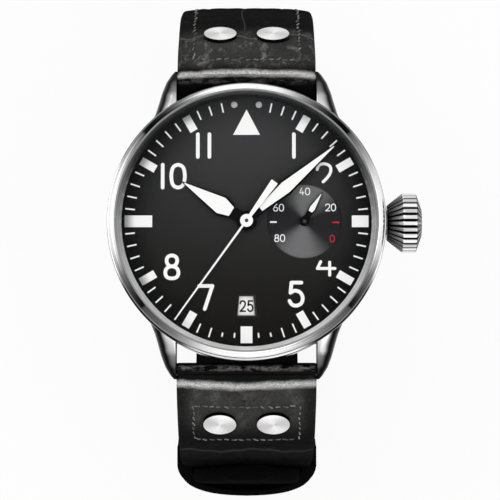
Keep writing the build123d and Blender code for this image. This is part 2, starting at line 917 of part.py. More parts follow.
fork_heading = degrees(
    atan2(balance_centre[1] - escape_centre[1], balance_centre[0] - escape_centre[0])
)
fork_length = hypot(
    balance_centre[0] - fork_centre[0], balance_centre[1] - fork_centre[1]
)
pallet_reach = hypot(fork_centre[0] - escape_centre[0], fork_centre[1] - escape_centre[1])
fork_plane = Plane(
    origin=(*fork_centre, escape_height),
    x_dir=(*at_angle(1, fork_heading), 0),
    z_dir=(0, 0, 1),
)
impulse_radius = 0.42
fork_arm_width = 0.28
pallet_spread = 0.72 * escape_radius
pallet_length = pallet_reach - fork_arm_width - sqrt(
    (0.965 * escape_radius) ** 2 - pallet_spread**2
)
with BuildPart() as pallet_fork:
    with BuildSketch(fork_plane):
        Rectangle(4 * arbor_radius, 4 * arbor_radius)
        with Locations(((fork_length - impulse_radius) / 2, 0)):
            Rectangle(fork_length - impulse_radius, fork_arm_width)
        with Locations((fork_length - impulse_radius, 0)):
            Rectangle(impulse_radius, 3 * fork_arm_width)
        with Locations((fork_length - impulse_radius / 2, 0)):
            Rectangle(impulse_radius, fork_arm_width, mode=Mode.SUBTRACT)
        with Locations((-fork_arm_width, 0)):
            Rectangle(fork_arm_width, 2 * pallet_spread + fork_arm_width)
        for side in (-1, 1):
            with Locations((-pallet_length / 2 - fork_arm_width, side * pallet_spread)):
                Rectangle(pallet_length, fork_arm_width)
    extrude(amount=wheel_thickness)
    with BuildSketch(Plane((*fork_centre, escape_height - wheel_thickness))):
        Circle(arbor_radius)
    extrude(amount=plate_height - escape_height + wheel_thickness)
publish(pallet_fork, "pallet_fork")

balance_arm_width = 0.6
roller_radius = 0.65
with BuildPart() as balance_wheel:
    with BuildSketch(Plane((*balance_centre, balance_height))):
        Circle(balance_radius)
        Circle(balance_radius - balance_rim_width, mode=Mode.SUBTRACT)
        Rectangle(2 * balance_radius - balance_rim_width, balance_arm_width)
        Circle(roller_radius)
    extrude(amount=balance_rim_height)
    with BuildSketch(Plane((*balance_centre, balance_height + balance_rim_height))):
        Circle(roller_radius)
    extrude(amount=wheel_thickness)
    with BuildSketch(Plane((*balance_centre, bridge_top))):
        Circle(arbor_radius)
    extrude(amount=plate_height - bridge_top)
    with BuildSketch(fork_plane.offset(-wheel_thickness)):
        with Locations((fork_length - impulse_radius, 0)):
            Circle(fork_arm_width / 3)
    extrude(amount=2 * wheel_thickness)
publish(balance_wheel, "balance_wheel")

# Hairspring: one ribbon of half turns whose radius grows by half a pitch each time
spring_plane = Plane((*balance_centre, hairspring_height))
with BuildPart() as hairspring:
    with BuildSketch(spring_plane):
        with BuildLine() as spring_line:
            for half in range(hairspring_half_turns):
                turn_radius = hairspring_inner_radius + half * hairspring_pitch / 2
                turn_centre = 0 if half % 2 == 0 else -hairspring_pitch / 2
                CenterArc((turn_centre, 0), turn_radius, 180 * (half % 2), 180)
        trace(line_width=hairspring_wire)
    extrude(amount=hairspring_wire * 2)
    with BuildSketch(spring_plane):
        Circle(hairspring_inner_radius + hairspring_wire / 4)
        Circle(arbor_radius + running_gap, mode=Mode.SUBTRACT)
    extrude(amount=hairspring_wire * 2)
publish(hairspring, "hairspring")
print("hairspring gap between turns", round(hairspring_pitch - hairspring_wire, 3))

# Winding work on the barrel bridge
bridge_side = bridge_height
ratchet_low = bridge_side - wheel_gap - 2 * wheel_thickness
with BuildPart() as ratchet_wheel:
    with BuildSketch(Plane((*barrel_centre, ratchet_low))):
        with BuildLine():
            Polyline(*teeth_outline(ratchet_teeth, ratchet_radius), close=True)
        make_face()
    extrude(amount=2 * wheel_thickness)
    with BuildSketch(Plane((*barrel_centre, ratchet_low))):
        Circle(barrel_arbor_radius)
    extrude(amount=barrel_height + barrel_drum_height - ratchet_low)
publish(ratchet_wheel, "ratchet_wheel")

with BuildPart() as crown_wheel:
    with BuildSketch(Plane((crown_wheel_x, crown_wheel_y, ratchet_low))):
        with BuildLine():
            Polyline(*teeth_outline(crown_wheel_teeth, crown_wheel_radius), close=True)
        make_face()
    extrude(amount=2 * wheel_thickness)
    contrate_radius = crown_wheel_radius - crown_wheel_radius / crown_wheel_teeth
    with BuildSketch(Plane((crown_wheel_x, crown_wheel_y, ratchet_low + 2 * wheel_thickness))):
        Circle(contrate_radius - 2 * wheel_gap)
        Circle(contrate_radius / 2, mode=Mode.SUBTRACT)
    extrude(amount=stem_height - winding_radius - ratchet_low - 2 * wheel_thickness - wheel_gap)
publish(crown_wheel, "crown_wheel")

# Main plate: carries the train between itself and the bridges, open for the stem and centre arbor
with BuildPart() as main_plate:
    with BuildSketch(Plane.XY.offset(plate_height)):
        Circle(movement_radius)
        Circle(cannon_radius + running_gap, mode=Mode.SUBTRACT)
        with Locations((subdial_offset, 0)):
            Circle(reserve_arbor_radius + running_gap, mode=Mode.SUBTRACT)
    extrude(amount=plate_top_height - plate_height)
    with BuildSketch(Plane.XY.offset(plate_height)):
        with Locations((stem_inner_end + movement_radius / 2 - 3 * running_gap, 0)):
            Rectangle(movement_radius, 2 * winding_radius + 4 * wheel_gap)
    extrude(amount=stem_height + winding_radius + wheel_gap - plate_height, mode=Mode.SUBTRACT)
publish(main_plate, "main_plate")

bridge_radius = bridge_diameter / 2
bridge_split_y = 0.6
cock_width = 6.4


def bridge_blank(low, high, inner_radius=0):
    """The plan of the movement between two heights, as a disc or a rim."""
    with BuildPart() as blank:
        with BuildSketch(Plane.XY.offset(low)):
            Circle(bridge_radius)
            if inner_radius:
                Circle(inner_radius, mode=Mode.SUBTRACT)
        extrude(amount=high - low)
    return blank


bridge_plate = bridge_blank(bridge_height, bridge_top)
bridge_rim = bridge_blank(bridge_top, plate_height, bridge_radius - bridge_foot_width)

# Barrel bridge: the upper half, with a window for the crown wheel's hub
with BuildPart() as barrel_bridge:
    add(bridge_plate.part)
    add(bridge_rim.part)
    with BuildSketch(Plane.XY.offset(bridge_height)):
        with Locations((0, bridge_split_y + movement_radius / 2)):
            Rectangle(2 * movement_radius, movement_radius)
        with Locations((crown_wheel_x, 0)):
            Rectangle(2 * contrate_radius, 2 * bridge_split_y + 2 * wheel_gap, mode=Mode.SUBTRACT)
        with Locations((crown_wheel_x, crown_wheel_y)):
            Circle(contrate_radius + wheel_gap, mode=Mode.SUBTRACT)
        with Locations(barrel_centre):
            Circle(barrel_arbor_radius + running_gap, mode=Mode.SUBTRACT)
        Circle(seconds_arbor_radius * 4, mode=Mode.SUBTRACT)
        with Locations((movement_radius, 0)):
            Rectangle(movement_radius, 2 * winding_radius + 4 * wheel_gap, mode=Mode.SUBTRACT)
    extrude(amount=plate_height - bridge_height, mode=Mode.INTERSECT)
publish(barrel_bridge, "barrel_bridge")

# Balance cock: a finger from the rim to the balance staff
cock_plane = Plane(
    origin=(0, 0, bridge_height),
    x_dir=(*at_angle(1, balance_angle), 0),
    z_dir=(0, 0, 1),
)
cock_start = balance_distance - cock_finger_length
with BuildPart() as balance_cock:
    add(bridge_plate.part)
    add(bridge_rim.part)
    with BuildSketch(cock_plane):
        with BuildLine():
            Polyline(
                (cock_start, -cock_width / 5),
                (movement_radius, -cock_width / 2),
                (movement_radius, cock_width / 2),
                (cock_start, cock_width / 5),
                close=True,
            )
        make_face()
    extrude(amount=plate_height - bridge_height, mode=Mode.INTERSECT)
publish(balance_cock, "balance_cock")

# Train bridge: the lower half round the balance's opening
with BuildPart() as train_bridge:
    add(bridge_plate.part)
    add(bridge_rim.part)
    with BuildSketch(Plane.XY.offset(bridge_height)):
        with Locations((0, bridge_split_y - 2 * wheel_gap - movement_radius / 2)):
            Rectangle(2 * movement_radius, movement_radius)
        with Locations(balance_centre):
            Circle(balance_radius + 4 * wheel_gap, mode=Mode.SUBTRACT)
        with Locations((balance_centre[0] * 1.45, balance_centre[1] * 1.45)):
            Circle(balance_radius, mode=Mode.SUBTRACT)
        with Locations((crown_wheel_x, crown_wheel_y)):
            Circle(crown_wheel_radius + 4 * wheel_gap, mode=Mode.SUBTRACT)
        Circle(seconds_arbor_radius * 4, mode=Mode.SUBTRACT)
        with Locations((movement_radius, 0)):
            Rectangle(movement_radius, 2 * winding_radius + 4 * wheel_gap, mode=Mode.SUBTRACT)
    extrude(amount=plate_height - bridge_height, mode=Mode.INTERSECT)
publish(train_bridge, "train_bridge")

# Rotor: a half disc with a heavy rim on a central bearing
bearing_low = rotor_height - wheel_gap
with BuildPart() as rotor_bearing:
    with BuildSketch(Plane.XY.offset(bearing_low)):
        Circle(rotor_post_radius + running_gap)
    extrude(amount=wheel_gap)
    with BuildSketch(Plane.XY.offset(rotor_height)):
        Circle(rotor_post_radius)
    extrude(amount=bridge_top - rotor_height)
publish(rotor_bearing, "rotor_bearing")

with BuildPart() as rotor:
    with BuildSketch(Plane.XY.offset(rotor_height)):
        Circle(bearing_radius)
        with BuildLine():
            rim_start = at_angle(rotor_radius, 90 - rotor_span / 2 + 180)
            rim_end = at_angle(rotor_radius, 90 + rotor_span / 2 + 180)
            ThreePointArc(rim_start, (0, -rotor_radius), rim_end)
            Polyline(rim_end, (0, 0), rim_start)
        make_face()
        Circle(rotor_post_radius + running_gap, mode=Mode.SUBTRACT)
    extrude(amount=rotor_thickness)
    with BuildSketch(Plane.XY.offset(rotor_height)):
        with BuildLine():
            inner_start = at_angle(rotor_radius - rotor_rim_width, 270 - rotor_span / 2)
            inner_end = at_angle(rotor_radius - rotor_rim_width, 270 + rotor_span / 2)
            ThreePointArc(rim_start, (0, -rotor_radius), rim_end)
            Line(rim_end, inner_end)
            ThreePointArc(inner_end, (0, rotor_rim_width - rotor_radius), inner_start)
            Line(inner_start, rim_start)
        make_face()
    extrude(amount=rotor_rim_thickness)
    with BuildSketch(Plane.XY.offset(rotor_height)):
        with PolarLocations(0.52 * rotor_radius, 3, start_angle=225, angular_range=90):
            Trapezoid(0.32 * rotor_radius, 0.3 * rotor_radius, 75, rotation=90)
    extrude(amount=rotor_thickness, mode=Mode.SUBTRACT)
publish(rotor, "rotor")

# Bridge screws: slotted heads on the bridges' feet
screw_headings = (28.0, 148.0, 206.0, 252.0, 300.0)
screw_circle = bridge_radius - 1.2 * screw_head_radius
with BuildPart() as bridge_screws:
    for screw_angle in screw_headings:
        screw_place = at_angle(screw_circle, screw_angle)
        with BuildSketch(Plane((*screw_place, bridge_height - screw_head_height))):
            Circle(screw_head_radius)
        extrude(amount=screw_head_height)
        with BuildSketch(Plane((*screw_place, bridge_height - screw_head_height))):
            Rectangle(2 * screw_head_radius, screw_head_radius / 3)
        extrude(amount=screw_head_height / 2, mode=Mode.SUBTRACT)
publish(bridge_screws, "bridge_screws")

# Reserve arbor: turns the reserve hand and is carried in the main plate
with BuildPart() as reserve_arbor:
    with BuildSketch(Plane((subdial_offset, 0, plate_top_height - pinion_length))):
        Circle(reserve_arbor_radius)
    extrude(amount=reserve_hand_height + reserve_hand_thickness - plate_top_height + pinion_length)
    with BuildSketch(Plane((subdial_offset, 0, plate_top_height + wheel_gap))):
        with BuildLine():
            Polyline(*teeth_outline(reserve_teeth, 1.5 * centre_pinion_pitch), close=True)
        make_face()
    extrude(amount=wheel_thickness)
publish(reserve_arbor, "reserve_arbor")

# Spring bars: turned pins whose tips sit in the lugs
for bar_side, bar_name in ((1, "upper_spring_bar"), (-1, "lower_spring_bar")):
    with BuildPart() as spring_bar:
        with BuildSketch(Plane.YZ):
            with Locations((bar_side * bar_reach, bar_height)):
                Circle(bar_diameter / 2)
        extrude(amount=lug_inner + bar_tip_length, both=True)
    publish(spring_bar, bar_name)

# Strap: two padded leather pieces on spring bars, closed into a loop by the buckle
lay = lining_thickness + leather_thickness + leather_gap
seam_start = (bar_reach, bar_height - strap_end_radius + lining_thickness)
crossing_turn = degrees(acos(1 - lay / (2 * crossing_bend_radius)))


def toward(heading):
    """A direction in the side view, from its angle below the outward horizontal."""
    return cos(radians(heading)), -sin(radians(heading))


def bend(before, radius, turn):
    """An arc that leaves the end of the stretch before it in line."""
    return JernArc(before @ 1, before % 1, radius, turn)


with BuildLine(Plane.YZ):
    shoulder = JernArc(
        seam_start,
        toward(strap_start_heading),
        shoulder_bend_radius,
        strap_start_heading - strap_slope,
    )
    flank = Line(shoulder @ 1, shoulder @ 1 + flank_length * (shoulder % 1))
    side = bend(flank, side_bend_radius, strap_slope - 90)
    under = bend(side, under_bend_radius, -90)
under_centre = (under @ 1).Y, (side @ 1).Z
seam_low = (under @ 1).Z
with BuildLine(Plane.YZ):
    to_bar = Line(under @ 1, (-buckle_bar_y, seam_low))
with BuildLine(Plane.YZ):
    crossing_down = bend(under, crossing_bend_radius, crossing_turn)
    crossing_back = bend(crossing_down, crossing_bend_radius, -crossing_turn)
    tail_floor = Line(crossing_back @ 1, (-under_centre[0], seam_low - lay))
    tail_under = bend(tail_floor, under_bend_radius + lay, -90)
    tail_side = bend(tail_under, side_bend_radius + lay, -tail_sweep)
straight_step_count = 2
bend_step_count = 4
round_step_count = 9
common_route = (
    (shoulder, bend_step_count),
    (flank, bend_step_count),
    (side, bend_step_count),
    (under, round_step_count),
)
short_route = (*common_route, (to_bar, straight_step_count))
long_route = (
    *common_route,
    (crossing_down, bend_step_count),
    (crossing_back, bend_step_count),
    (tail_floor, straight_step_count),
    (tail_under, round_step_count),
    (tail_side, straight_step_count),
)
under_distance = shoulder.length + flank.length + side.length


def ease(distance, start, end):
    """A smooth step from 0 at start to 1 at end."""
    share = min(max((distance - start) / (end - start), 0), 1)
    return share * share * (3 - 2 * share)


def route_stations(route):
    """Distance along the strap, place and direction at each station of a route."""
    passed = 0
    stations = [(0, route[0][0] @ 0, route[0][0] % 0)]
    for stretch, count in route:
        for step in range(1, count + 1):
            share = step / count
            stations.append((passed + share * stretch.length, stretch @ share, stretch % share))
        passed += stretch.length
    return stations


def width_at(distance):
    """Width of the strap, which narrows as it bends under the wrist."""
    narrowing = ease(distance, under_distance, under_distance + under.length)
    return strap_width + (strap_end_width - strap_width) * narrowing


def leather_at(distance, pad_end, fade_end, last_thickness):
    """Thickness of the outer leather: thin at the bar, padded on the flank, thin at the buckle."""
    padded = last_thickness + (leather_pad_thickness - last_thickness) * (
        1 - ease(distance, pad_end, fade_end)
    )
    at_bar = 2 * strap_end_radius - lining_thickness
    return at_bar + (padded - at_bar) * ease(distance, 0, 1.4 * shoulder.length)


leather_crown_shares = [
    (-1, 0), (1, 0), (1, leather_edge_share), (0.55, 0.94), (0, 1), (-0.55, 0.94), (-1, leather_edge_share),
]
lining_shares = [(-1, -1), (1, -1), (1, 0), (-1, 0)]


def section_plane(place, direction):
    """The plane across the strap, with its y axis pointing away from the wrist."""
    return Plane(origin=place, x_dir=(-1, 0, 0), z_dir=direction)


def make_strap(route, pad_end, fade_end, last_thickness, tip_length, start_distance):
    """The crowned outer leather and the flat lining of one strap piece along its route."""
    end = route_stations(route)[-1][0]
    leather_rings = []
    lining_rings = []
    for distance, place, direction in route_stations(route):
        across = section_plane(place, direction)
        half = width_at(distance) / 2
        if tip_length:
            half *= 1 - tip_narrowing_share * ease(distance, end - tip_length, end)
        high = leather_at(distance, pad_end, fade_end, last_thickness)
        leather_rings.append([
            across.from_local_coords((x * half, y * high, 0)) for x, y in leather_crown_shares
        ])
        if distance >= start_distance:
            lining_rings.append([
                across.from_local_coords((x * half, y * lining_thickness, 0))
                for x, y in lining_shares
            ])
    with BuildPart() as leather:
        add(faceted(leather_rings))
    with BuildPart() as lining:
        add(faceted(lining_rings))
    return leather, lining


def bar_loop(centre_y, centre_z, radius, width):
    """A round bar across the strap, for the leather's turned end and for the hole inside it."""
    with BuildPart() as loop:
        with BuildSketch(Plane.YZ):
            with Locations((centre_y, centre_z)):
                Circle(radius)
        extrude(amount=width / 2, both=True)
    return loop


# Rivets: brushed discs on shanks through the padded flank
rivet_plane = section_plane(
    flank @ ((rivet_distance - shoulder.length) / flank.length), flank % 0
)
rivet_leather = leather_at(
    rivet_distance, under_distance, under_distance + under.length / 2, leather_thickness
)
rivet_seat = rivet_leather - rivet_height / 3
rivet_places = [(-rivet_spacing / 2, 0), (rivet_spacing / 2, 0)]
with BuildPart() as rivets:
    for offset, _ in rivet_places:
        rivet_axis = Plane(
            origin=rivet_plane.from_local_coords((offset, -lining_thickness, 0)),
            x_dir=(1, 0, 0),
            z_dir=rivet_plane.y_dir,
        )
        with BuildSketch(rivet_axis):
            Circle(rivet_shank_diameter / 2)
        extrude(amount=lining_thickness + rivet_seat)
        with BuildSketch(rivet_axis.offset(lining_thickness + rivet_seat)):
            Circle(rivet_diameter / 2)
        extrude(amount=rivet_height)
with BuildPart() as lower_rivets:
    mirror(rivets.part, about=Plane.XZ)
publish(rivets, "upper_rivets")
publish(lower_rivets, "lower_rivets")

# Buckle tongue: a bar round the buckle's pin that lies in a notch of the crossbar
base_height = seam_low - lay - leather_thickness - leather_gap - keeper_wall
buckle_pin_height = seam_low + lining_thickness - buckle_wrap_radius
crossbar_y = buckle_bar_y + buckle_reach - buckle_crossbar_width / 2 - buckle_eye_radius
tongue_end_height = base_height + leather_gap + tongue_thickness / 2
tongue_heading = degrees(
    atan2(buckle_pin_height - tongue_end_height, crossbar_y - buckle_bar_y)
)
tongue_length = hypot(crossbar_y - buckle_bar_y, buckle_pin_height - tongue_end_height)
tongue_plane = Plane(
    origin=(0, buckle_bar_y, buckle_pin_height),
    x_dir=(0, *toward(tongue_heading)),
    z_dir=(1, 0, 0),
)
room_swing = 1.3 * tongue_swing
with BuildPart() as tongue_room:
    with BuildSketch(tongue_plane):
        with BuildLine():
            Polyline(
                (0, -tongue_thickness),
                (
                    1.1 * tongue_length * cos(radians(room_swing)),
                    -1.1 * tongue_length * sin(radians(room_swing)) - tongue_thickness / 2,
                ),
                (tongue_length + tongue_thickness, tongue_thickness),
                (0, tongue_thickness),
                close=True,
            )
        make_face()
    extrude(amount=tongue_width / 2 + 2 * leather_gap, both=True)

with BuildPart() as buckle_tongue:
    with BuildSketch(tongue_plane):
        Circle(buckle_bar_diameter / 2 + tongue_eye_wall)
        with Locations((tongue_length / 2, 0)):
            Rectangle(tongue_length, tongue_thickness)
        with Locations((tongue_length, 0)):
            Circle(tongue_thickness / 2)
        Circle(buckle_bar_diameter / 2 + running_gap, mode=Mode.SUBTRACT)
    extrude(amount=tongue_width / 2, both=True)
publish(buckle_tongue, "buckle_tongue")

# Strap pieces: the long one crosses through the buckle and lies outside the short one
long_leather, long_lining = make_strap(
    long_route, under_distance, under_distance + under.length / 2,
    leather_thickness, strap_tip_length, strap_end_radius + running_gap,
)
short_leather, short_lining = make_strap(
    short_route, rivet_distance + rivet_diameter / 2, under_distance - tail_side.length,
    leather_thickness, 0, strap_end_radius + running_gap,
)
bar_wrap = bar_loop(bar_reach, bar_height, strap_end_radius, strap_width)
bar_hole = bar_loop(bar_reach, bar_height, bar_diameter / 2 + running_gap, 2 * strap_width)
pin_wrap = bar_loop(-buckle_bar_y, buckle_pin_height, buckle_wrap_radius, strap_end_width)
pin_hole = bar_loop(
    -buckle_bar_y, buckle_pin_height, buckle_bar_diameter / 2 + running_gap, 2 * strap_width
)
with BuildPart() as pin_notch:
    with BuildSketch(Plane.YZ):
        with Locations((-buckle_bar_y, buckle_pin_height)):
            Rectangle(4 * buckle_wrap_radius, 4 * buckle_wrap_radius)
    extrude(amount=tongue_width / 2 + leather_gap, both=True)
with BuildPart() as adjusting_holes:
    for number in range(1, adjusting_hole_count + 1):
        hole_share = (number - 0.5) * adjusting_hole_pitch / tail_under.length
        hole_plane = section_plane(tail_under @ hole_share, tail_under % hole_share)
        with BuildSketch(
            Plane(origin=hole_plane.origin, x_dir=(1, 0, 0), z_dir=hole_plane.y_dir)
        ):
            Circle(adjusting_hole_diameter / 2)
        extrude(amount=2 * leather_thickness, both=True)

with BuildPart() as strap_long:
    add(long_leather.part)
    add(bar_wrap.part)
    for opening in (bar_hole, tongue_room, adjusting_holes, rivets):
        add(opening.part, mode=Mode.SUBTRACT)
publish(strap_long, "strap_long")

with BuildPart() as strap_long_lining:
    add(long_lining.part)
    for opening in (bar_wrap, tongue_room, adjusting_holes, rivets):
        add(opening.part, mode=Mode.SUBTRACT)
publish(strap_long_lining, "strap_long_lining")

with BuildPart() as strap_short_flat:
    add(short_leather.part)
    add(bar_wrap.part)
    add(pin_wrap.part)
    for opening in (bar_hole, pin_hole, pin_notch, rivets):
        add(opening.part, mode=Mode.SUBTRACT)
with BuildPart() as strap_short:
    mirror(strap_short_flat.part, about=Plane.XZ)
publish(strap_short, "strap_short")

with BuildPart() as short_lining_flat:
    add(short_lining.part)
    for opening in (bar_wrap, pin_wrap, pin_notch, pin_hole, rivets):
        add(opening.part, mode=Mode.SUBTRACT)
with BuildPart() as strap_short_lining:
    mirror(short_lining_flat.part, about=Plane.XZ)
publish(strap_short_lining, "strap_short_lining")

# Buckle: a U of two arms and a crossbar, with ears for its pin
buckle_half = buckle_inner_width / 2 + buckle_arm_width
with BuildPart() as buckle_frame:
    with BuildSketch(Plane.XY.offset(base_height)):
        with Locations((0, buckle_bar_y - buckle_eye_radius + buckle_reach / 2)):
            Rectangle(2 * buckle_half, buckle_reach)
        with Locations((0, buckle_bar_y - buckle_eye_radius
                        + (buckle_reach - buckle_crossbar_width) / 2)):
            Rectangle(buckle_inner_width, buckle_reach - buckle_crossbar_width,
                      mode=Mode.SUBTRACT)
    extrude(amount=buckle_thickness)
    fillet(
        buckle_frame.edges().filter_by(Axis.Z).sort_by(Axis.Y)[-2:], radius=buckle_arm_width
    )
    for ear_side in (-1, 1):
        with BuildSketch(Plane.YZ.offset(ear_side * (buckle_half - buckle_arm_width / 2))):
            with Locations((buckle_bar_y, buckle_pin_height)):
                Circle(buckle_eye_radius)
            with Locations((buckle_bar_y, (buckle_pin_height + base_height) / 2)):
                Rectangle(2 * buckle_eye_radius, buckle_pin_height - base_height)
        extrude(amount=buckle_arm_width / 2, both=True)
    with BuildSketch(Plane.YZ):
        with Locations((buckle_bar_y, buckle_pin_height)):
            Circle(buckle_bar_diameter / 2)
    extrude(amount=buckle_half - buckle_arm_width / 3, both=True, mode=Mode.SUBTRACT)
    add(tongue_room.part, mode=Mode.SUBTRACT)
publish(buckle_frame, "buckle_frame")

with BuildPart() as buckle_pin:
    with BuildSketch(Plane.YZ):
        with Locations((buckle_bar_y, buckle_pin_height)):
            Circle(buckle_bar_diameter / 2)
    extrude(amount=buckle_half - buckle_arm_width / 3, both=True)
publish(buckle_pin, "buckle_pin")

# Fixed keeper: a leather band round both layers, flat underneath
keeper_inner = strap_end_width / 2 + leather_gap
keeper_top = seam_low + lining_thickness + leather_gap
with BuildPart() as fixed_keeper:
    with BuildSketch(Plane.XZ.offset(-fixed_keeper_y - fixed_keeper_width / 2)):
        with Locations((0, (keeper_top + keeper_wall + base_height) / 2)):
            Rectangle(2 * (keeper_inner + keeper_wall), keeper_top + keeper_wall - base_height)
        with Locations((0, (keeper_top + base_height + keeper_wall) / 2)):
            Rectangle(2 * keeper_inner, keeper_top - base_height - keeper_wall,
                      mode=Mode.SUBTRACT)
    extrude(amount=fixed_keeper_width)
publish(fixed_keeper, "fixed_keeper")

# Free keeper: a bowed band that follows the strap's bend round the bend's own centre
keeper_plane = Plane(
    origin=(0, -under_centre[0], under_centre[1]), x_dir=(1, 0, 0), z_dir=(0, 0, -1)
)
keeper_half = strap_width / 2 + leather_gap
keeper_low = under_bend_radius - lining_thickness - leather_gap
keeper_edge = under_bend_radius + keeper_edge_share * leather_thickness
with BuildPart() as free_keeper:
    with BuildSketch(keeper_plane):
        for half, low, rise, mode in (
            (keeper_half + free_keeper_side, keeper_low - keeper_wall,
             free_keeper_rise + free_keeper_wall, Mode.ADD),
            (keeper_half, keeper_low, free_keeper_rise, Mode.SUBTRACT),
        ):
            with BuildLine():
                Polyline(
                    (half, low),
                    *[(x * half, keeper_edge + y * rise) for x, y in keeper_bow_shares],
                    *[(-x * half, keeper_edge + y * rise) for x, y in reversed(keeper_bow_shares)],
                    (-half, low),
                    close=True,
                )
            make_face(mode=mode)
    revolve(
        axis=Axis((0, -under_centre[0], under_centre[1]), (1, 0, 0)),
        revolution_arc=free_keeper_sweep,
    )
publish(free_keeper, "free_keeper")
print("base height", base_height, "bend centre", under_centre, "pin", buckle_pin_height)
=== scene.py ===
"""Looks of a pilot's wristwatch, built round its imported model.

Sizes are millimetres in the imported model's frame: +Z out through the dial, +Y to twelve
o'clock, +X to three o'clock and the crown, with the origin on the case back.
"""

import logging
import math
import random
from collections.abc import Callable, Iterable, Sequence
from dataclasses import dataclass, field
from enum import Enum
from typing import ClassVar

import bmesh
import bpy
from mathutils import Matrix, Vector


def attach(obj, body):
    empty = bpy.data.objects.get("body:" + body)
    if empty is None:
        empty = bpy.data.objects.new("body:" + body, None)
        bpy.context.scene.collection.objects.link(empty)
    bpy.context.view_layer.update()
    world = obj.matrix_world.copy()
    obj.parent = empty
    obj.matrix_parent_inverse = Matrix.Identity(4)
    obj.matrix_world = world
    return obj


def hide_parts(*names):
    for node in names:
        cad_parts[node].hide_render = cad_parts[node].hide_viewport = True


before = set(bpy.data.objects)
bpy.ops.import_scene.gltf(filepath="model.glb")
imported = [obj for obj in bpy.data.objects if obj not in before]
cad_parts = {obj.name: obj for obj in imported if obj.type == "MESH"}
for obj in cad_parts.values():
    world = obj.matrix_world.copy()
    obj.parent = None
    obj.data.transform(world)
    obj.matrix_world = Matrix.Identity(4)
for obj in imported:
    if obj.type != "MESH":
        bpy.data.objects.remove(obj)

logging.basicConfig(level=logging.INFO, format="%(message)s")
log = logging.getLogger("watch")

Flat = tuple[float, float]
Triple = tuple[float, float, float]
Colour = tuple[float, float, float]

MM = 0.001
WHITE_LEVEL = 255
MINUTES = 60

# Places that several sub-assemblies share.
DIAL_TOP = 8.3
DIAL_RADIUS = 19.5
SUBDIAL_X = 9.02
BAR_Y = 23.2
BAR_HEIGHT = 3.3
SEAM_HEIGHT = 2.9
STRAP_HALF = 11.0
CORNER_Y = 16.6256
CORNER_HEIGHT = -24.7385
RIVET_X = 4.25


class Body(Enum):
    """The moving bodies that pieces ride on."""

    WATCH = "watch"
    CROWN = "crown"
    DATE = "date"
    HOUR = "hour"
    MINUTE = "minute"
    SECONDS = "seconds"
    RESERVE = "reserve"
    KEEPER = "keeper"


class Slot(Enum):
    """The record's material slots."""

    CASE_STEEL = "case_steel"
    BEZEL_STEEL = "bezel_steel"
    INNER_RING = "inner_ring"
    CROWN_STEEL = "crown_steel"
    WHITE_PAINT = "white_paint"
    HAND_WHITE = "hand_white"
    GILT = "gilt"
    STRAP_LEATHER = "strap_leather"
    LINING_LEATHER = "lining_leather"
    RIVET_STEEL = "rivet_steel"


def tone(red: float, green: float | None = None, blue: float | None = None) -> Colour:
    """A linear colour from screen levels of 0 to 255; one level alone gives a grey.

    Args:
        red: Screen level of red, or of all three.
        green: Screen level of green.
        blue: Screen level of blue.

    Returns:
        The linear colour that a node takes.
    """
    levels = (red, red if green is None else green, red if blue is None else blue)
    return tuple(
        level / WHITE_LEVEL / 12.92 if level < 10.3
        else ((level / WHITE_LEVEL + 0.055) / 1.055) ** 2.4
        for level in levels
    )


def on_dial(radius: float, heading: float) -> Flat:
    """The x and y of a point at a radius and a heading clockwise from twelve o'clock."""
    return radius * math.sin(math.radians(heading)), radius * math.cos(math.radians(heading))


def ease(value: float, start: float, end: float) -> float:
    """A smooth step from 0 at start to 1 at end."""
    share = min(max((value - start) / (end - start), 0.0), 1.0)
    return share * share * (3 - 2 * share)


def between(value: float, stops: Sequence[Flat]) -> float:
    """A value read off a smooth line through (place, value) stops, in rising order.

    Args:
        value: The place along the line.
        stops: The known places and their values.

    Returns:
        The value at that place.
    """
    if value <= stops[0][0]:
        return stops[0][1]
    for (low, first), (high, second) in zip(stops, stops[1:]):
        if value <= high:
            return first + (second - first) * (value - low) / (high - low)
    return stops[-1][1]


def rounded(corners: Sequence[Flat], closed: bool = False, steps: int = 6) -> list[Flat]:
    """A smooth line through corners.

    Args:
        corners: The points that the line goes through.
        closed: Whether the line comes back to its start.
        steps: Points for each stretch between two corners.

    Returns:
        The points of the smooth line.
    """
    count = len(corners)
    points = []
    for index in range(count if closed else count - 1):
        around = [
            corners[(index + step) % count] if closed
            else corners[min(max(index + step, 0), count - 1)]
            for step in (-1, 0, 1, 2)
        ]
        for step in range(steps):
            t = step / steps
            points.append(tuple(
                0.5 * (2 * b + (c - a) * t + (2 * a - 5 * b + 4 * c - d) * t * t
                       + (3 * b - a - 3 * c + d) * t ** 3)
                for a, b, c, d in zip(*around)
            ))
    return points if closed else [*points, tuple(corners[-1])]


@dataclass
class Shape:
    """Corners in millimetres and the faces between them."""

    corners: list[Vector] = field(default_factory=list)
    faces: list[tuple[int, ...]] = field(default_factory=list)

    def add(self, other: "Shape") -> "Shape":
        """This shape with another one's corners and faces added.

        Args:
            other: The shape to add.

        Returns:
            This shape, grown.
        """
        start = len(self.corners)
        self.corners += other.corners
        self.faces += [tuple(start + corner for corner in face) for face in other.faces]
        return self


def loft(rings: Sequence[Sequence], caps: bool = True, closed: bool = False) -> Shape:
    """A skin through rings that have alike numbers of corners.

    Args:
        rings: The rings, each a list of points.
        caps: Whether the first and last rings are closed with a face.
        closed: Whether the last ring joins the first.

    Returns:
        The skin.
    """
    count = len(rings[0])
    shape = Shape([Vector(point) for ring in rings for point in ring])
    for row in range(len(rings) if closed else len(rings) - 1):
        near, far = row * count, (row + 1) % len(rings) * count
        for here in range(count):
            after = (here + 1) % count
            shape.faces.append((near + here, near + after, far + after, far + here))
    if caps and not closed:
        last = (len(rings) - 1) * count
        shape.faces.append(tuple(reversed(range(count))))
        shape.faces.append(tuple(range(last, last + count)))
    return shape


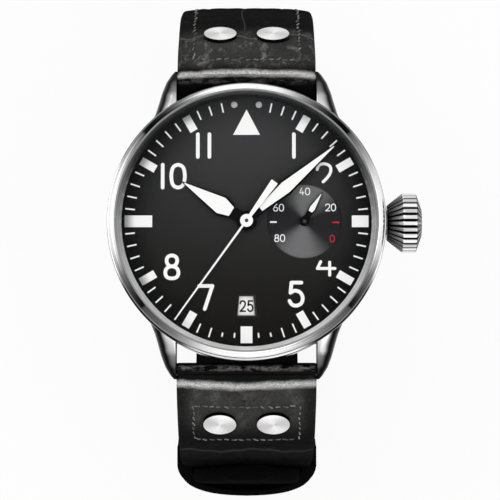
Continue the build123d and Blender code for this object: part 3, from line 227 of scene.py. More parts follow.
def turned(profile: Sequence[Flat], centre: Flat = (0, 0), closed: bool = False,
           segments: int = 160) -> Shape:
    """A shape turned about an upright axis.

    Args:
        profile: (radius, height) points.
        centre: Where the axis stands.
        closed: Whether the profile is a closed loop, as of a ring.
        segments: Sides round the axis.

    Returns:
        The turned shape.
    """
    circle = [on_dial(1, 360 * side / segments) for side in range(segments)]
    rings = [
        [(centre[0] + x * radius, centre[1] + y * radius, height) for x, y in circle]
        for radius, height in profile
    ]
    return loft(rings, closed=closed)


def prism(outline: Sequence[Flat], low: float, high: float) -> Shape:
    """A flat outline made solid between two heights."""
    return loft([[(x, y, height) for x, y in outline] for height in (low, high)])


def stroke(path: Sequence[Flat], width: float, low: float, high: float,
           closed: bool = False) -> Shape:
    """A pen stroke with round ends, made solid between two heights.

    Args:
        path: The middle of the stroke.
        width: Its width.
        low: Height of its underside.
        high: Height of its face.
        closed: Whether the stroke is a loop.

    Returns:
        The stroke.
    """
    count = len(path)
    left, right, turns = [], [], []
    for index, (x, y) in enumerate(path):
        before = path[(index - 1) % count] if closed or index else path[index]
        after = path[(index + 1) % count] if closed or index < count - 1 else path[index]
        along = Vector((after[0] - before[0], after[1] - before[1])).normalized() * (width / 2)
        left.append((x - along.y, y + along.x))
        right.append((x + along.y, y - along.x))
        turns.append(math.atan2(along.y, along.x))
    if closed:
        return loft([[(*a, low), (*a, high), (*b, high), (*b, low)]
                     for a, b in zip(left, right)], closed=True)
    ends = []
    for (x, y), turn in ((path[-1], turns[-1]), (path[0], turns[0] + math.pi)):
        ends.append([(x + width / 2 * math.cos(turn + math.radians(90 - step)),
                      y + width / 2 * math.sin(turn + math.radians(90 - step)))
                     for step in range(15, 180, 15)])
    return prism([*left, *ends[0], *reversed(right), *ends[1]], low, high)


def hoop(middle: Vector, across: Vector, up: Vector, radius: float, sides: int) -> list[Vector]:
    """Corners round a circle.

    Args:
        middle: Its middle.
        across: Direction of its first corner.
        up: Direction a quarter turn on.
        radius: Its radius.
        sides: How many corners it has.

    Returns:
        The corners.
    """
    turns = (2 * math.pi * side / sides for side in range(sides))
    return [middle + radius * (across * math.cos(turn) + up * math.sin(turn)) for turn in turns]


def capsule(start: Vector, end: Vector, radius: float, sides: int = 6) -> Shape:
    """A short rounded thread between two points.

    Args:
        start: The point where it begins.
        end: The point where it ends.
        radius: Its radius in the middle.
        sides: Sides round it.

    Returns:
        The thread.
    """
    length = (end - start).length
    axis = (end - start).normalized()
    across = axis.orthogonal().normalized()
    up = axis.cross(across)
    return loft([
        hoop(start + axis * (reach * length), across, up, radius * share, sides)
        for reach, share in ((0, 0.45), (0.12, 0.85), (0.3, 1), (0.7, 1), (0.88, 0.85), (1, 0.45))
    ])


class Signal:
    """One socket of a finish's nodes, worked on with ordinary operators."""

    def __init__(self, nodes: "Nodes", socket: bpy.types.NodeSocket) -> None:
        """Keeps the socket and the nodes that it belongs to."""
        self.nodes = nodes
        self.socket = socket

    def maths(self, operation: str, *others: "Signal | float") -> "Signal":
        """A Math node with this signal first and any others after it."""
        return self.nodes.node("Math", {"operation": operation}, dict(enumerate((self, *others))))

    def __add__(self, other: "Signal | float") -> "Signal":
        """The sum."""
        return self.maths("ADD", other)

    __radd__ = __add__

    def __mul__(self, other: "Signal | float") -> "Signal":
        """The product."""
        return self.maths("MULTIPLY", other)

    __rmul__ = __mul__

    def __sub__(self, other: "Signal | float") -> "Signal":
        """The difference."""
        return self.maths("SUBTRACT", other)

    def __rsub__(self, other: float) -> "Signal":
        """The difference from a number."""
        return self.nodes.node("Math", {"operation": "SUBTRACT"}, {0: other, 1: self})

    def __truediv__(self, other: "Signal | float") -> "Signal":
        """The quotient."""
        return self.maths("DIVIDE", other)

    def __pow__(self, other: float) -> "Signal":
        """The power."""
        return self.maths("POWER", other)

    def __abs__(self) -> "Signal":
        """The size without its sign."""
        return self.maths("ABSOLUTE")

    def wave(self) -> "Signal":
        """The sine."""
        return self.maths("SINE")

    def swell(self) -> "Signal":
        """The sine as 0 to 1."""
        return self.wave() * 0.5 + 0.5

    def span(self, other: "Signal") -> "Signal":
        """The length of (this, other)."""
        return (self * self + other * other) ** 0.5

    def part(self) -> "Signal":
        """What is left above the whole number."""
        return self.maths("FRACT")

    def angle_from(self, other: "Signal") -> "Signal":
        """The angle of (other, this), in radians."""
        return self.maths("ARCTAN2", other)

    def step(self, low: float, high: float) -> "Signal":
        """A smooth step from 0 at low to 1 at high, whichever of them is greater.

        Args:
            low: Where the step is 0.
            high: Where it is 1.

        Returns:
            The step.
        """
        first, last = (0.0, 1.0) if low < high else (1.0, 0.0)
        return self.nodes.node(
            "MapRange", {"interpolation_type": "SMOOTHSTEP"},
            {0: self, 1: min(low, high), 2: max(low, high), 3: first, 4: last},
        )

    def band(self, middle: float, width: float) -> "Signal":
        """1 at the middle, falling to 0 at the width on either side."""
        return abs(self - middle).step(width, 0)


class Nodes:
    """A node tree that values and signals are fed into."""

    def __init__(self, tree: bpy.types.NodeTree) -> None:
        """Keeps the tree."""
        self.tree = tree

    def feed(self, socket: bpy.types.NodeSocket, value: "Signal | float | Sequence") -> None:
        """Links or sets one input socket.

        Args:
            socket: The socket.
            value: A signal to link, or a value to set.
        """
        if isinstance(value, Signal):
            self.tree.links.new(value.socket, socket)
        elif isinstance(value, tuple) and len(value) == 3 and socket.type == "RGBA":
            socket.default_value = (*value, 1)
        else:
            socket.default_value = value

    def node(self, kind: str, settings: dict | None = None, inputs: dict | None = None,
             output: int = 0) -> Signal:
        """Any node of the shader, with its settings, then its inputs.

        Args:
            kind: The node's type, without its usual beginning.
            settings: The node's own properties, and a ramp's stops under "stops".
            inputs: Values or signals, by the socket's number or name.
            output: Number of the output wanted.

        Returns:
            The signal of that output.
        """
        made = self.tree.nodes.new("ShaderNode" + kind)
        for key, value in (settings or {}).items():
            if key == "stops":
                for index, (position, colour) in enumerate(value):
                    stops = made.color_ramp.elements
                    stop = stops[index] if index < 2 else stops.new(position)
                    stop.position, stop.color = position, (*colour, 1)
            else:
                setattr(made, key, value)
        for key, value in (inputs or {}).items():
            self.feed(made.inputs[key], value)
        return Signal(self, made.outputs[output])

    def other(self, signal: Signal, output: int | str) -> Signal:
        """Another output of the node that a signal comes from."""
        return Signal(self, signal.socket.node.outputs[output])


class Paint(Nodes):
    """The nodes of one material, with its principled shader."""

    def __init__(self, name: str, constants: dict[str, float | Colour]) -> None:
        """Starts a material.

        Args:
            name: The material's name.
            constants: Values that are the same all over, by the shader's sockets.
        """
        self.material = bpy.data.materials.new(name)
        self.material.use_nodes = True
        super().__init__(self.material.node_tree)
        self.tree.nodes.clear()
        self.output = self.tree.nodes.new("ShaderNodeOutputMaterial")
        self.shader = self.tree.nodes.new("ShaderNodeBsdfPrincipled")
        self.tree.links.new(self.shader.outputs[0], self.output.inputs[0])
        for socket, value in constants.items():
            self.feed(self.shader.inputs[socket], value)

    def place(self, stretch: Triple = (1, 1, 1)) -> Signal:
        """The point on the part in millimetres, stretched along each axis.

        Args:
            stretch: How much each axis is stretched.

        Returns:
            The point.
        """
        here = self.node("TexCoord", output=3)
        scale = tuple(axis / MM for axis in stretch)
        return self.node("VectorMath", {"operation": "MULTIPLY"}, {0: here, 1: scale})

    def axes(self) -> tuple[Signal, Signal, Signal]:
        """The point's x, y and z in millimetres."""
        first = self.node("SeparateXYZ", inputs={0: self.place()})
        return first, self.other(first, 1), self.other(first, 2)

    def facing(self) -> tuple[Signal, Signal, Signal]:
        """The x, y and z of the surface's own direction in the part's frame."""
        first = self.node("SeparateXYZ", inputs={0: self.node("TexCoord", output=1)})
        return first, self.other(first, 1), self.other(first, 2)

    def noise(self, scale: float, stretch: Triple = (1, 1, 1),
              detail: float = 3, rough: float = 0.55) -> Signal:
        """Cloudy noise of 0 to 1, in waves for each millimetre.

        Args:
            scale: Waves for each millimetre.
            stretch: How much each axis is stretched.
            detail: Octaves of finer noise.
            rough: How strong the finer octaves are.

        Returns:
            The noise.
        """
        return self.node("TexNoise", inputs={
            "Vector": self.place(stretch), "Scale": scale, "Detail": detail, "Roughness": rough,
        })

    def rings(self, reach: Signal, scale: float, detail: float) -> Signal:
        """Noise of 0 to 1 in rings, read off a distance from their middle."""
        return self.node("TexNoise", {"noise_dimensions": "1D"},
                         {"W": reach, "Scale": scale, "Detail": detail})

    def pores(self, scale: float) -> Signal:
        """Distance to the nearest edge between cells of leather grain."""
        return self.node("TexVoronoi", {"feature": "DISTANCE_TO_EDGE"},
                         {"Vector": self.place(), "Scale": scale})

    def mix(self, share: Signal | float, first: Signal | Colour, second: Signal | Colour) -> Signal:
        """One colour turning into another."""
        return self.node("Mix", {"data_type": "RGBA"}, {0: share, 6: first, 7: second}, output=2)

    def layers(self, base: Signal | Colour,
               *above: tuple[Signal | float, Signal | Colour]) -> Signal:
        """A colour with others laid over it in turn.

        Args:
            base: The lowest colour.
            above: Share and colour of each one over it.

        Returns:
            The blend.
        """
        for share, colour in above:
            base = self.mix(share, base, colour)
        return base

    def greys(self, share: Signal, stops: Sequence[Flat]) -> Signal:
        """A grey read off (place, screen level) stops, the two outer ones first."""
        return self.node("ValToRGB", {"stops": [(at, tone(level)) for at, level in stops]},
                         {0: share})

    def heading(self, x: Signal, y: Signal) -> Signal:
        """Heading about the dial's axis as 0 to 1, with 0.5 at twelve o'clock."""
        return x.angle_from(y) / (2 * math.pi) + 0.5

    def coat(self, colour: Signal, roughness: Signal | None = None,
             height: Signal | None = None, depth: float = 0.0, strength: float = 1.0) -> "Paint":
        """Feeds the shader's colour, roughness and relief.

        Args:
            colour: The colour.
            roughness: The roughness, where it varies.
            height: The relief as 0 to 1, where there is one.
            depth: What a height of 1 stands for, in millimetres.
            strength: How strongly the relief shows.

        Returns:
            This paint.
        """
        self.wear("Base Color", colour)
        if roughness is not None:
            self.wear("Roughness", roughness)
        if height is not None:
            self.wear("Normal", self.node("Bump", inputs={
                "Strength": strength, "Distance": depth * MM, "Height": height,
            }))
        return self

    def wear(self, socket: str, signal: Signal) -> None:
        """Feeds one of the shader's sockets."""
        self.feed(self.shader.inputs[socket], signal)


def dimmed(colour: Colour, share: float) -> Colour:
    """A share of a colour."""
    return tuple(part * share for part in colour)


@dataclass(frozen=True)
class Finish:
    """A finish that makes its material once."""

    made: ClassVar[dict["Finish", bpy.types.Material]] = {}

    name: str

    def material(self) -> bpy.types.Material:
        """The finish's material, made on first use.

        Returns:
            The material.
        """
        if self not in Finish.made:
            Finish.made[self] = self.paint().material
        return Finish.made[self]

    def paint(self) -> Paint:
        """The nodes of this finish."""
        raise NotImplementedError


@dataclass(frozen=True)
class Polished(Finish):
    """Polished steel that is bright where it faces out and dark where it turns away."""

    shine: float = 235
    shade: float = 18
    roughness: float = 0.12

    def paint(self) -> Paint:
        """Steel with a painted reflection toned by the way each spot faces, with fine rub marks.

        Returns:
            The painted material.
        """
        paint = Paint(self.name, {"Metallic": 1.0})
        nx, ny, nz = paint.facing()
        # Painted reflection: the grey follows the way each spot faces.
        turn = nz + 0.16 * nx - 0.1 * ny
        grey = paint.greys(turn * 0.5 + 0.5, (
            (0.0, 120), (1.0, self.shine), (0.3, 170), (0.44, 70), (0.56, 205),
            (0.68, self.shade), (0.82, self.shade + 60), (0.93, 225),
        ))
        marks = paint.noise(6, (1, 1, 8))
        return paint.coat(
            paint.mix(marks.step(0.55, 0.8) * 0.12, grey, tone(150)),
            roughness=paint.noise(1.5) * 0.08 + self.roughness - 0.04,
            height=paint.noise(9, (1, 1, 6)), depth=0.004,
        )


@dataclass(frozen=True)
class CasePolish(Finish):
    """Polished case steel: white on top, black where a lug rolls over, grey on its flanks."""

    waist: float = 5.6
    lug_start: float = 16.4
    lug_end: float = 24.0
    shelf_height: float = 8.5

    def paint(self) -> Paint:
        """Painted reflection toned by the way each spot faces and by its place along the lugs.

        Returns:
            The painted material.
        """
        paint = Paint(self.name, {"Metallic": 1.0})
        x, y, z = paint.axes()
        _, _, nz = paint.facing()
        # Painted reflection: dark slants on the shelf, banded flanks, dark lug tips, black
        # roll-over.
        slanting = abs(x * y) / (x * x + y * y)
        shelf = paint.mix(slanting.step(0.32, 0.44), tone(226), tone(20))
        flank = paint.layers(
            tone(92),
            (abs(z - self.waist).step(0.2, 2.6), tone(206)),
            (abs(y).step(15, 18) * z.step(1, 4) * 0.9, tone(26)),
        )
        grey = paint.layers(
            tone(250),
            (abs(y).step(self.lug_start, self.lug_end) * 0.95, tone(48)),
            (z.step(self.shelf_height, self.shelf_height + 0.3), shelf),
            (nz.step(0.985, 0.72), tone(8)),
            (nz.step(0.34, 0.08), flank),
            (nz.step(-0.3, -0.9), tone(150)),
        )
        marks = paint.noise(6, (1, 1, 8))
        return paint.coat(
            paint.mix(marks.step(0.55, 0.8) * 0.08, grey, tone(150)),
            roughness=paint.noise(1.5) * 0.06 + 0.1,
            height=paint.noise(9, (1, 1, 6)), depth=0.003,
        )


@dataclass(frozen=True)
class BezelPolish(Finish):
    """Polished ring whose light and dark sectors run round the dial, alike on both sides."""

    sectors: tuple[Flat, ...]

    def paint(self) -> Paint:
        """Steel with a painted reflection toned by heading, with a grey outer wall.

        Returns:
            The painted material.
        """
        paint = Paint(self.name, {"Metallic": 1.0, "Roughness": 0.14})
        x, y, _ = paint.axes()
        _, _, nz = paint.facing()
        # Painted reflection: light and dark sectors by heading, greyer where the wall turns
        # outward.
        heading = abs(x).angle_from(y) / math.pi
        stops = [(angle / 180, level) for angle, level in self.sectors]
        grey = paint.greys(heading, [stops[0], stops[-1], *stops[1:-1]])
        grey = paint.mix(nz.step(0.5, 0.1) * 0.5, grey, tone(120))
        streak = paint.noise(3)
        return paint.coat(
            paint.mix(streak.step(0.55, 0.8) * 0.06, grey, tone(128)),
            height=paint.noise(5, (1, 1, 6)), depth=0.003,
        )


@dataclass(frozen=True)
class CrownPolish(Finish):
    """Fluted crown steel, black in its grooves and dark on its outer cone."""

    flutes: int
    height: float
    rim_start: float
    rim_end: float

    def paint(self) -> Paint:
        """Steel with a painted reflection toned across each flute and along the crown.

        Returns:
            The painted material.
        """
        paint = Paint(self.name, {"Metallic": 1.0})
        x, y, z = paint.axes()
        # Painted reflection and shade: bright crests, black grooves, a dark outer cone, each flute
        # a little different.
        count = y.angle_from(z - self.height) * (self.flutes / (2 * math.pi))
        across = abs(count.part() - 0.5)
        uneven = ((count - count.part()) * 2.3).swell()
        groove = across.step(0.2, 0.4)
        rim = paint.mix(uneven * 0.55, tone(248), tone(150))
        cone = paint.mix(x.step(self.rim_start - 2.3, self.rim_start) * 0.7, tone(70), tone(215))
        cone = paint.mix(uneven * 0.45, cone, tone(48))
        nose = paint.mix(across.step(0.16, 0.04) * (1 - uneven * 0.7), tone(26), tone(176))
        crest = paint.mix(x.step(self.rim_start - 0.05, self.rim_start + 0.05), cone, rim)
        crest = paint.mix(x.step(self.rim_end - 0.04, self.rim_end + 0.06), crest, nose)
        grey = paint.mix(groove, crest, tone(7))
        return paint.coat(
            grey,
            roughness=paint.noise(2) * 0.06 + 0.12,
            height=paint.noise(8), depth=0.004,
        )


@dataclass(frozen=True)
class RivetSteel(Finish):
    """Rivet heads with spun faces and dark side walls."""

    slope: float
    across: float
    reach: float

    def paint(self) -> Paint:
        """Painted reflection in wedges on the face, light and grey; painted shade black down the
        side.

        Returns:
            The painted material.
        """
        paint = Paint(self.name, {"Metallic": 1.0, "Roughness": 0.34})
        x, y, _ = paint.axes()
        _, ny, nz = paint.facing()
        tilt = math.radians(self.slope)
        outward = ny * y / abs(y)
        # Painted shade: the side wall goes black where it turns from the face.
        face = (outward * math.sin(tilt) + nz * math.cos(tilt)).step(0.55, 0.93)
        dx, dy = abs(x) - self.across, (abs(y) - self.reach) / math.cos(tilt)
        wedge = (dx.angle_from(dy) * 2 + 0.9).swell()
        ring = paint.rings(dx.span(dy), 8.0, 2.0)
        grey = paint.mix(wedge * 0.75 + ring * 0.25, tone(196, 194, 194), tone(246))
        return paint.coat(paint.mix(face, tone(9), grey), height=ring, depth=0.004)


@dataclass(frozen=True)
class Brushed(Finish):
    """Steel with fine straight or round brush lines."""

    level: float = 205
    spin: Flat | None = None
    roughness: float = 0.3
    tint: Colour = (1.0, 1.0, 1.0)

    def paint(self) -> Paint:
        """Steel with brush lines across it, or round a centre.

        Returns:
            The painted material.
        """
        paint = Paint(self.name, {"Metallic": 1.0})
        if self.spin is None:
            lines = paint.noise(1.2, (0.6, 14, 14), detail=4)
        else:
            x, y, _ = paint.axes()
            dx, dy = x - self.spin[0], y - self.spin[1]
            lines = paint.rings(dx.span(dy), 9.0, 3.0)
        low = tuple(c * t for c, t in zip(tone(self.level * 0.78), self.tint))
        high = tuple(c * t for c, t in zip(tone(self.level), self.tint))
        return paint.coat(
            paint.mix(lines.step(0.3, 0.7), low, high),
            roughness=lines * 0.16 + self.roughness - 0.08,
            height=lines, depth=0.006,
        )


@dataclass(frozen=True)
class Striped(Finish):
    """Nickel or gilt bridge with broad slanting stripes."""

    tint: Colour
    pitch: float = 1.7
    slant: float = 0.5

    def paint(self) -> Paint:
        """Stripes that shade from one edge to the other, each with fine arcs.

        Returns:
            The painted material.
        """
        paint = Paint(self.name, {"Metallic": 1.0})
        x, y, _ = paint.axes()
        stripe = ((x + y * self.slant) / self.pitch).part()
        fine = paint.noise(7, (1.2, 0.25, 1), detail=4)
        share = stripe.step(0.02, 0.9) * 0.75 + fine * 0.25
        dark = dimmed(self.tint, 0.42)
        return paint.coat(
            paint.mix(share, dark, self.tint),
            roughness=fine * 0.2 + 0.16,
            height=stripe + fine * 0.15, depth=0.01,
        )


@dataclass(frozen=True)
class Spotted(Finish):
    """Plate covered in overlapping round grains."""

    tint: Colour
    pitch: float = 0.9

    def paint(self) -> Paint:
        """Rows of round marks over a grey plate.

        Returns:
            The painted material.
        """
        paint = Paint(self.name, {"Metallic": 1.0, "Roughness": 0.3})
        x, y, _ = paint.axes()
        across = (x / self.pitch).part() - 0.5
        along = (y / self.pitch).part() - 0.5
        ring = (across.span(along) * 18).swell()
        dark = dimmed(self.tint, 0.6)
        return paint.coat(paint.mix(ring, dark, self.tint), height=ring, depth=0.006)


@dataclass(frozen=True)
class Plain(Finish):
    """Lacquer, rubber, jewel or paint with a slight mottle."""

    colour: Colour
    roughness: float = 0.4
    metallic: float = 0.0
    mottle: float = 0.18
    coat: float = 0.0
    grain: float = 4.0
    depth: float = 0.01
    gloss: float = 0.3

    def paint(self) -> Paint:
        """One colour that drifts a little, with a fine grain.

        Returns:
            The painted material.
        """
        paint = Paint(self.name, {"Metallic": self.metallic, "Coat Weight": self.coat,
                                  "Specular IOR Level": self.gloss})
        drift = paint.noise(self.grain, detail=4)
        dim = dimmed(self.colour, 1 - self.mottle)
        return paint.coat(
            paint.mix(drift.step(0.3, 0.7), dim, self.colour),
            roughness=drift * 0.12 + self.roughness - 0.06,
            height=paint.noise(self.grain * 5), depth=self.depth,
        )


@dataclass(frozen=True)
class Glass(Finish):
    """Sapphire with a coating that leaves hardly any glare."""

    cover: float = 0.003

    def paint(self) -> Paint:
        """A nearly clear sheet, a little denser at its edge.

        Returns:
            The painted material.
        """
        paint = Paint(self.name, {"Base Color": (0.25, 0.28, 0.32), "IOR": 1.45,
                                  "Specular IOR Level": 0.02})
        _, _, nz = paint.facing()
        edge = abs(nz).step(0.9, 0.4)
        paint.wear("Alpha", edge * 0.08 + self.cover)
        paint.wear("Roughness", paint.noise(0.4) * 0.03 + 0.02)
        return paint


@dataclass(frozen=True)
class DialEnamel(Finish):
    """Charcoal dial, lighter toward twelve, with a spun grey sub-dial."""

    centre: float
    radius: float
    dial_radius: float

    def paint(self) -> Paint:
        """The dial's painted light and shade, and the sub-dial's bright fans of painted reflection.

        Returns:
            The painted material.
        """
        paint = Paint(self.name, {"Specular IOR Level": 0.03})
        x, y, _ = paint.axes()
        # Painted light toward twelve, a flatter tone at the sides, and the inner ring's painted
        # shadow round the edge.
        rise = y.step(-self.dial_radius + 3, self.dial_radius - 4)
        edge = x.span(y).step(self.dial_radius - 6, self.dial_radius)
        side = abs(x).step(2, self.dial_radius - 3)
        enamel = paint.layers(
            tone(25, 24, 21),
            (rise, tone(60, 60, 61)),
            (side * 0.4, tone(32, 32, 31)),
            (edge * (0.35 + side * 0.5), tone(9, 9, 10)),
        )
        # Painted reflection on the spun sub-dial in bright fans, and painted shade along its rim.
        dx = x - self.centre
        reach = dx.span(y)
        swung = y + dx * 0.16
        fan = (swung * swung) / (reach * reach + 0.02)
        spun = paint.rings(reach, 6.0, 3.0)
        bright = fan.step(0.2, 1.05) * (0.78 + spun * 0.4)
        rim = reach.step(self.radius - 0.22, self.radius - 0.02)
        grey = paint.layers(
            tone(36, 36, 38), (bright, tone(112, 112, 113)), (rim * 0.75, tone(12)),
        )
        inside = reach.step(self.radius + 0.02, self.radius - 0.02)
        return paint.coat(
            paint.mix(inside, enamel, grey),
            roughness=0.62 - inside * 0.2,
            height=inside * spun, depth=0.003,
        )


@dataclass(frozen=True)
class Lume(Finish):
    """White inlay, pressed in, that greys toward the dial's edge on its upper left."""

    colour: Colour = (0.99, 0.99, 0.985)
    shaded: bool = False

    def paint(self) -> Paint:
        """A matt white with a powdery grain.

        Returns:
            The painted material.
        """
        paint = Paint(self.name, {"Roughness": 0.6, "Specular IOR Level": 0.25})
        powder = paint.noise(8, detail=4)
        dim = dimmed(self.colour, 0.96)
        white = paint.mix(powder.step(0.3, 0.7), dim, self.colour)
        if self.shaded:
            # Painted shadow of the inner ring on the outer ends toward the upper left.
            x, y, _ = paint.axes()
            reach = x.span(y).step(17.2, 19.0)
            left = (y * 0.55 - x * 0.83).step(-6, 8)
            white = paint.mix(reach * left * 0.85, white, tone(118, 118, 120))
        return paint.coat(white, height=powder, depth=0.006)


@dataclass(frozen=True)
class InnerRing(Finish):
    """Polished cone round the dial that mirrors the minute track."""

    low: float
    high: float

    def paint(self) -> Paint:
        """Painted reflection by heading, with mirrored ticks and a painted highlight on the lip.

        Returns:
            The painted material.
        """
        paint = Paint(self.name, {"Metallic": 0.15, "Roughness": 0.4, "Specular IOR Level": 0.2})
        x, y, z = paint.axes()
        around = paint.heading(x, y)
        tick_reflection = abs((around * MINUTES + 0.5).part() - 0.5).step(0.2, 0.08)
        depth = (z - self.low) / (self.high - self.low)
        upper, lower = y.step(2, 13), y.step(-8, -16)
        # Painted reflection and shade: tone by heading, reflected ticks, dark bands, dark low near
        # twelve, a bright lip.
        grey = paint.greys(around, (
            (0.0, 255), (1.0, 255), (0.06, 255), (0.11, 244), (0.19, 236), (0.26, 176),
            (0.33, 70), (0.42, 48), (0.5, 78), (0.58, 48), (0.67, 76), (0.75, 190),
            (0.83, 238), (0.9, 252), (0.95, 255),
        ))
        return paint.coat(paint.layers(
            grey,
            (tick_reflection * depth.step(0.42, 0.3) * (1 - upper) * 0.3, tone(240)),
            (depth.band(0.5, 0.09) * (0.35 - lower * 0.22), tone(60)),
            (upper * depth.step(0.7, 0.4) * 0.8, tone(22)),
            (depth.step(0.93, 0.97) * 0.4, tone(210)),
            (depth.band(0.86, 0.07) * (0.6 - lower * 0.4), tone(26)),
        ))


@dataclass(frozen=True)
class Leather(Finish):
    """Black embossed leather; painted light round the rivets, a painted highlight over the lugs."""

    colour: Colour
    worn: Colour
    lit: Colour = tone(66, 66, 65)
    crest_upper: float = 24.05
    crest_lower: float = 25.5
    crest_width: float = 0.86
    gloss: float = 0.46

    def paint(self) -> Paint:
        """Leather with dark pores, painted light and shade, and a painted highlight along the
        crest.

        Returns:
            The painted material.
        """
        paint = Paint(self.name, {"Specular IOR Level": 0.0, "Coat Weight": 0.03,
                                  "Coat Roughness": 0.45})
        x, y, z = paint.axes()
        reach, upper = abs(y), y.step(-1, 1)
        pores = paint.pores(2.6)
        wrinkle = paint.noise(0.9, (0.6, 1.6, 1.6), detail=6, rough=0.7)
        patch = paint.noise(0.22, detail=2)
        speck = paint.noise(8, (0.7, 1, 1), detail=2)
        sheen_patches = paint.noise(0.55, (1, 0.7, 0.7), detail=5, rough=0.72).step(0.5, 0.68)
        # Painted light on the padding between the lugs and the bend, less at the sides of the lower
        # piece.
        shoulder = reach.step(34.0, 29.5) * z.step(-7, -2) * reach.step(24.4, 26.0)
        shoulder = shoulder * (1 - abs(x).step(7.4, 10.4) * (1 - upper * 0.6) * 0.8)
        # A fold across the bend, and on the upper piece a line along its middle.
        sway = ((x * 0.55 + 0.8).wave() * 0.5 + (x * 1.9).wave() * 0.14) * (upper * 0.6 + 0.4)
        fold = abs(reach + sway - (35.4 - upper * 4.3)).step(0.24, 0) * (0.55 + patch * 0.5)
        along = abs(x + 0.55 + (y * 0.9).wave() * 0.25).step(0.2, 0)
        along = along * reach.step(31.5, 32.5) * upper
        # Painted shade on the turned end by the case; painted highlight on the crest over the
        # spring bar.
        end = reach.step(23.6, 23.0) * z.step(0.5, 1.5)
        glint = reach.band(22.7, 0.7) * z.step(3.4, 4.2) * wrinkle.step(0.42, 0.6)
        crest = self.crest_lower - upper * (self.crest_lower - self.crest_upper)
        drift = abs(reach - crest + x * x * 0.0033 + (patch - 0.5) * 0.7 + (wrinkle - 0.5) * 0.5)
        crest_highlight = drift.step(self.crest_width, 0) * z.step(2.0, 3.0)
        crest_highlight = crest_highlight * (0.4 + speck.step(0.3, 0.62) * 0.7) * (0.9 + upper * 0.1)
        base = paint.layers(
            self.colour,
            # Painted light on the padding, with patches of painted sheen over it.
            (shoulder * (0.3 + patch * 1.1), self.lit),
            (sheen_patches * shoulder * (0.25 + upper * 0.6), tone(122)),
            # Lighter where the wrinkles rise.
            (wrinkle.step(0.52, 0.74) * 0.5, self.worn),
            # Painted shade lower down the loop.
            (z.step(-11, -17) * 0.85, tone(7)),
            (fold * (0.2 + upper * 0.46) * z.step(-12, -9), tone(118)),
            (along * z.step(-30, -28) * 0.5, tone(84)),
            # Painted shade on the turned end, a painted glint on its nose, the painted crest
            # highlight.
            (end * 0.8, tone(9)),
            (glint * (0.85 - upper * 0.6), tone(150, 144, 144)),
            (crest_highlight, tone(232, 231, 229)),
            (pores.step(0.08, 0.0) * 0.6, tone(5)),
        )
        return paint.coat(
            base,
            roughness=wrinkle * 0.25 + self.gloss - 0.08,
            height=wrinkle * 1.2 + pores.step(0.0, 0.12) * 0.35, depth=0.09, strength=0.8,
        )


@dataclass(frozen=True)
class Thread(Finish):
    """Waxed thread with a twisted lay."""

    colour: Colour

    def paint(self) -> Paint:
        """A twist of light and dark along the thread.

        Returns:
            The painted material.
        """
        paint = Paint(self.name, {"Roughness": 0.55})
        x, y, z = paint.axes()
        twist = ((x + y * 1.3 + z * 1.3) * 14).swell()
        lay = paint.mix(twist, dimmed(self.colour, 0.35), self.colour)
        rubbed = paint.noise(0.8, detail=1).step(0.4, 0.62)
        return paint.coat(
            paint.mix(rubbed, dimmed(self.colour, 0.18), lay),
            height=twist, depth=0.03,
        )


POLISHED = CasePolish("case_polish")
BUCKLE_POLISH = Polished("buckle_polish", shine=225, shade=30, roughness=0.18)
BACK_STEEL = Brushed("back_steel", 190, spin=(0, 0))
STEM_STEEL = Brushed("stem_steel", 185)
BEZEL = BezelPolish("bezel_polish", (
    (0, 250), (13, 246), (19, 205), (24, 152), (29, 104), (34, 58), (39, 24), (45, 8),
    (49.4, 10), (50.2, 84), (56, 126), (63, 170), (70, 214), (78, 244), (92, 250), (102, 226),
    (109, 166), (114.5, 104), (121.5, 62), (126, 34), (130.2, 8), (131, 76), (141, 96),
    (148, 122), (154.5, 168), (161.5, 226), (168, 244), (180, 250),
))
RUBBER = Plain("gasket_rubber", tone(16), 0.7)
CLEAR_GASKET = Plain("gasket_clear", tone(150), 0.5)
SAPPHIRE = Glass("sapphire")
BACK_SAPPHIRE = Glass("back_sapphire", 0.02)
WHITE_PRINT = Lume("white_print")
MARKER_LUME = Lume("marker_lume", shaded=True)
HAND_LUME = Lume("hand_lume", (0.99, 0.99, 0.98))
RED_PRINT = Plain("red_print", tone(190, 24, 28), 0.5, mottle=0.1)
BLACK_PRINT = Plain("black_print", tone(8), 0.55, gloss=0.03)
HAND_BLACK = Plain("hand_lacquer", tone(9), 0.5, gloss=0.04)
HAND_WHITE = Plain("seconds_lacquer", tone(254), 0.45, mottle=0.02)
PIN_STEEL = Plain("pin_steel", tone(70), 0.3, metallic=1.0)
DATE_WHITE = Plain("date_lacquer", tone(255, 255, 254), 0.5, mottle=0.02)
GILT = Brushed("gilt_brass", 215, tint=(1.0, 0.76, 0.42))
WHEEL_GILT = Plain("wheel_gilt", (0.72, 0.5, 0.22), 0.28, metallic=1.0, grain=6)
STEEL_WORK = Brushed("steel_work", 195)
BRIDGE_STRIPES = Striped("bridge_stripes", (0.62, 0.62, 0.6))
ROTOR_STRIPES = Striped("rotor_stripes", (0.66, 0.64, 0.6), 1.4, -0.35)
PLATE_SPOTS = Spotted("plate_spots", (0.55, 0.55, 0.53))
BLUED = Plain("blued_steel", (0.03, 0.07, 0.32), 0.18, metallic=1.0)
RUBY = Plain("ruby", (0.5, 0.02, 0.07), 0.1, coat=0.6)
SPRING_BLUE = Plain("hairspring_blue", (0.09, 0.13, 0.28), 0.25, metallic=1.0)
RIVET_STEEL = RivetSteel("rivet_steel", 56, RIVET_X, 31.5)
STRAP_LEATHER = Leather("strap_leather_black", tone(21, 21, 21), tone(50, 49, 48))
KEEPER_LEATHER = Leather("keeper_leather_black", tone(8, 8, 8), tone(20, 20, 20))
LINING = Leather("lining_leather", tone(24, 21, 19), tone(46, 40, 36), gloss=0.6)
THREAD = Thread("thread_black", tone(142, 141, 139))


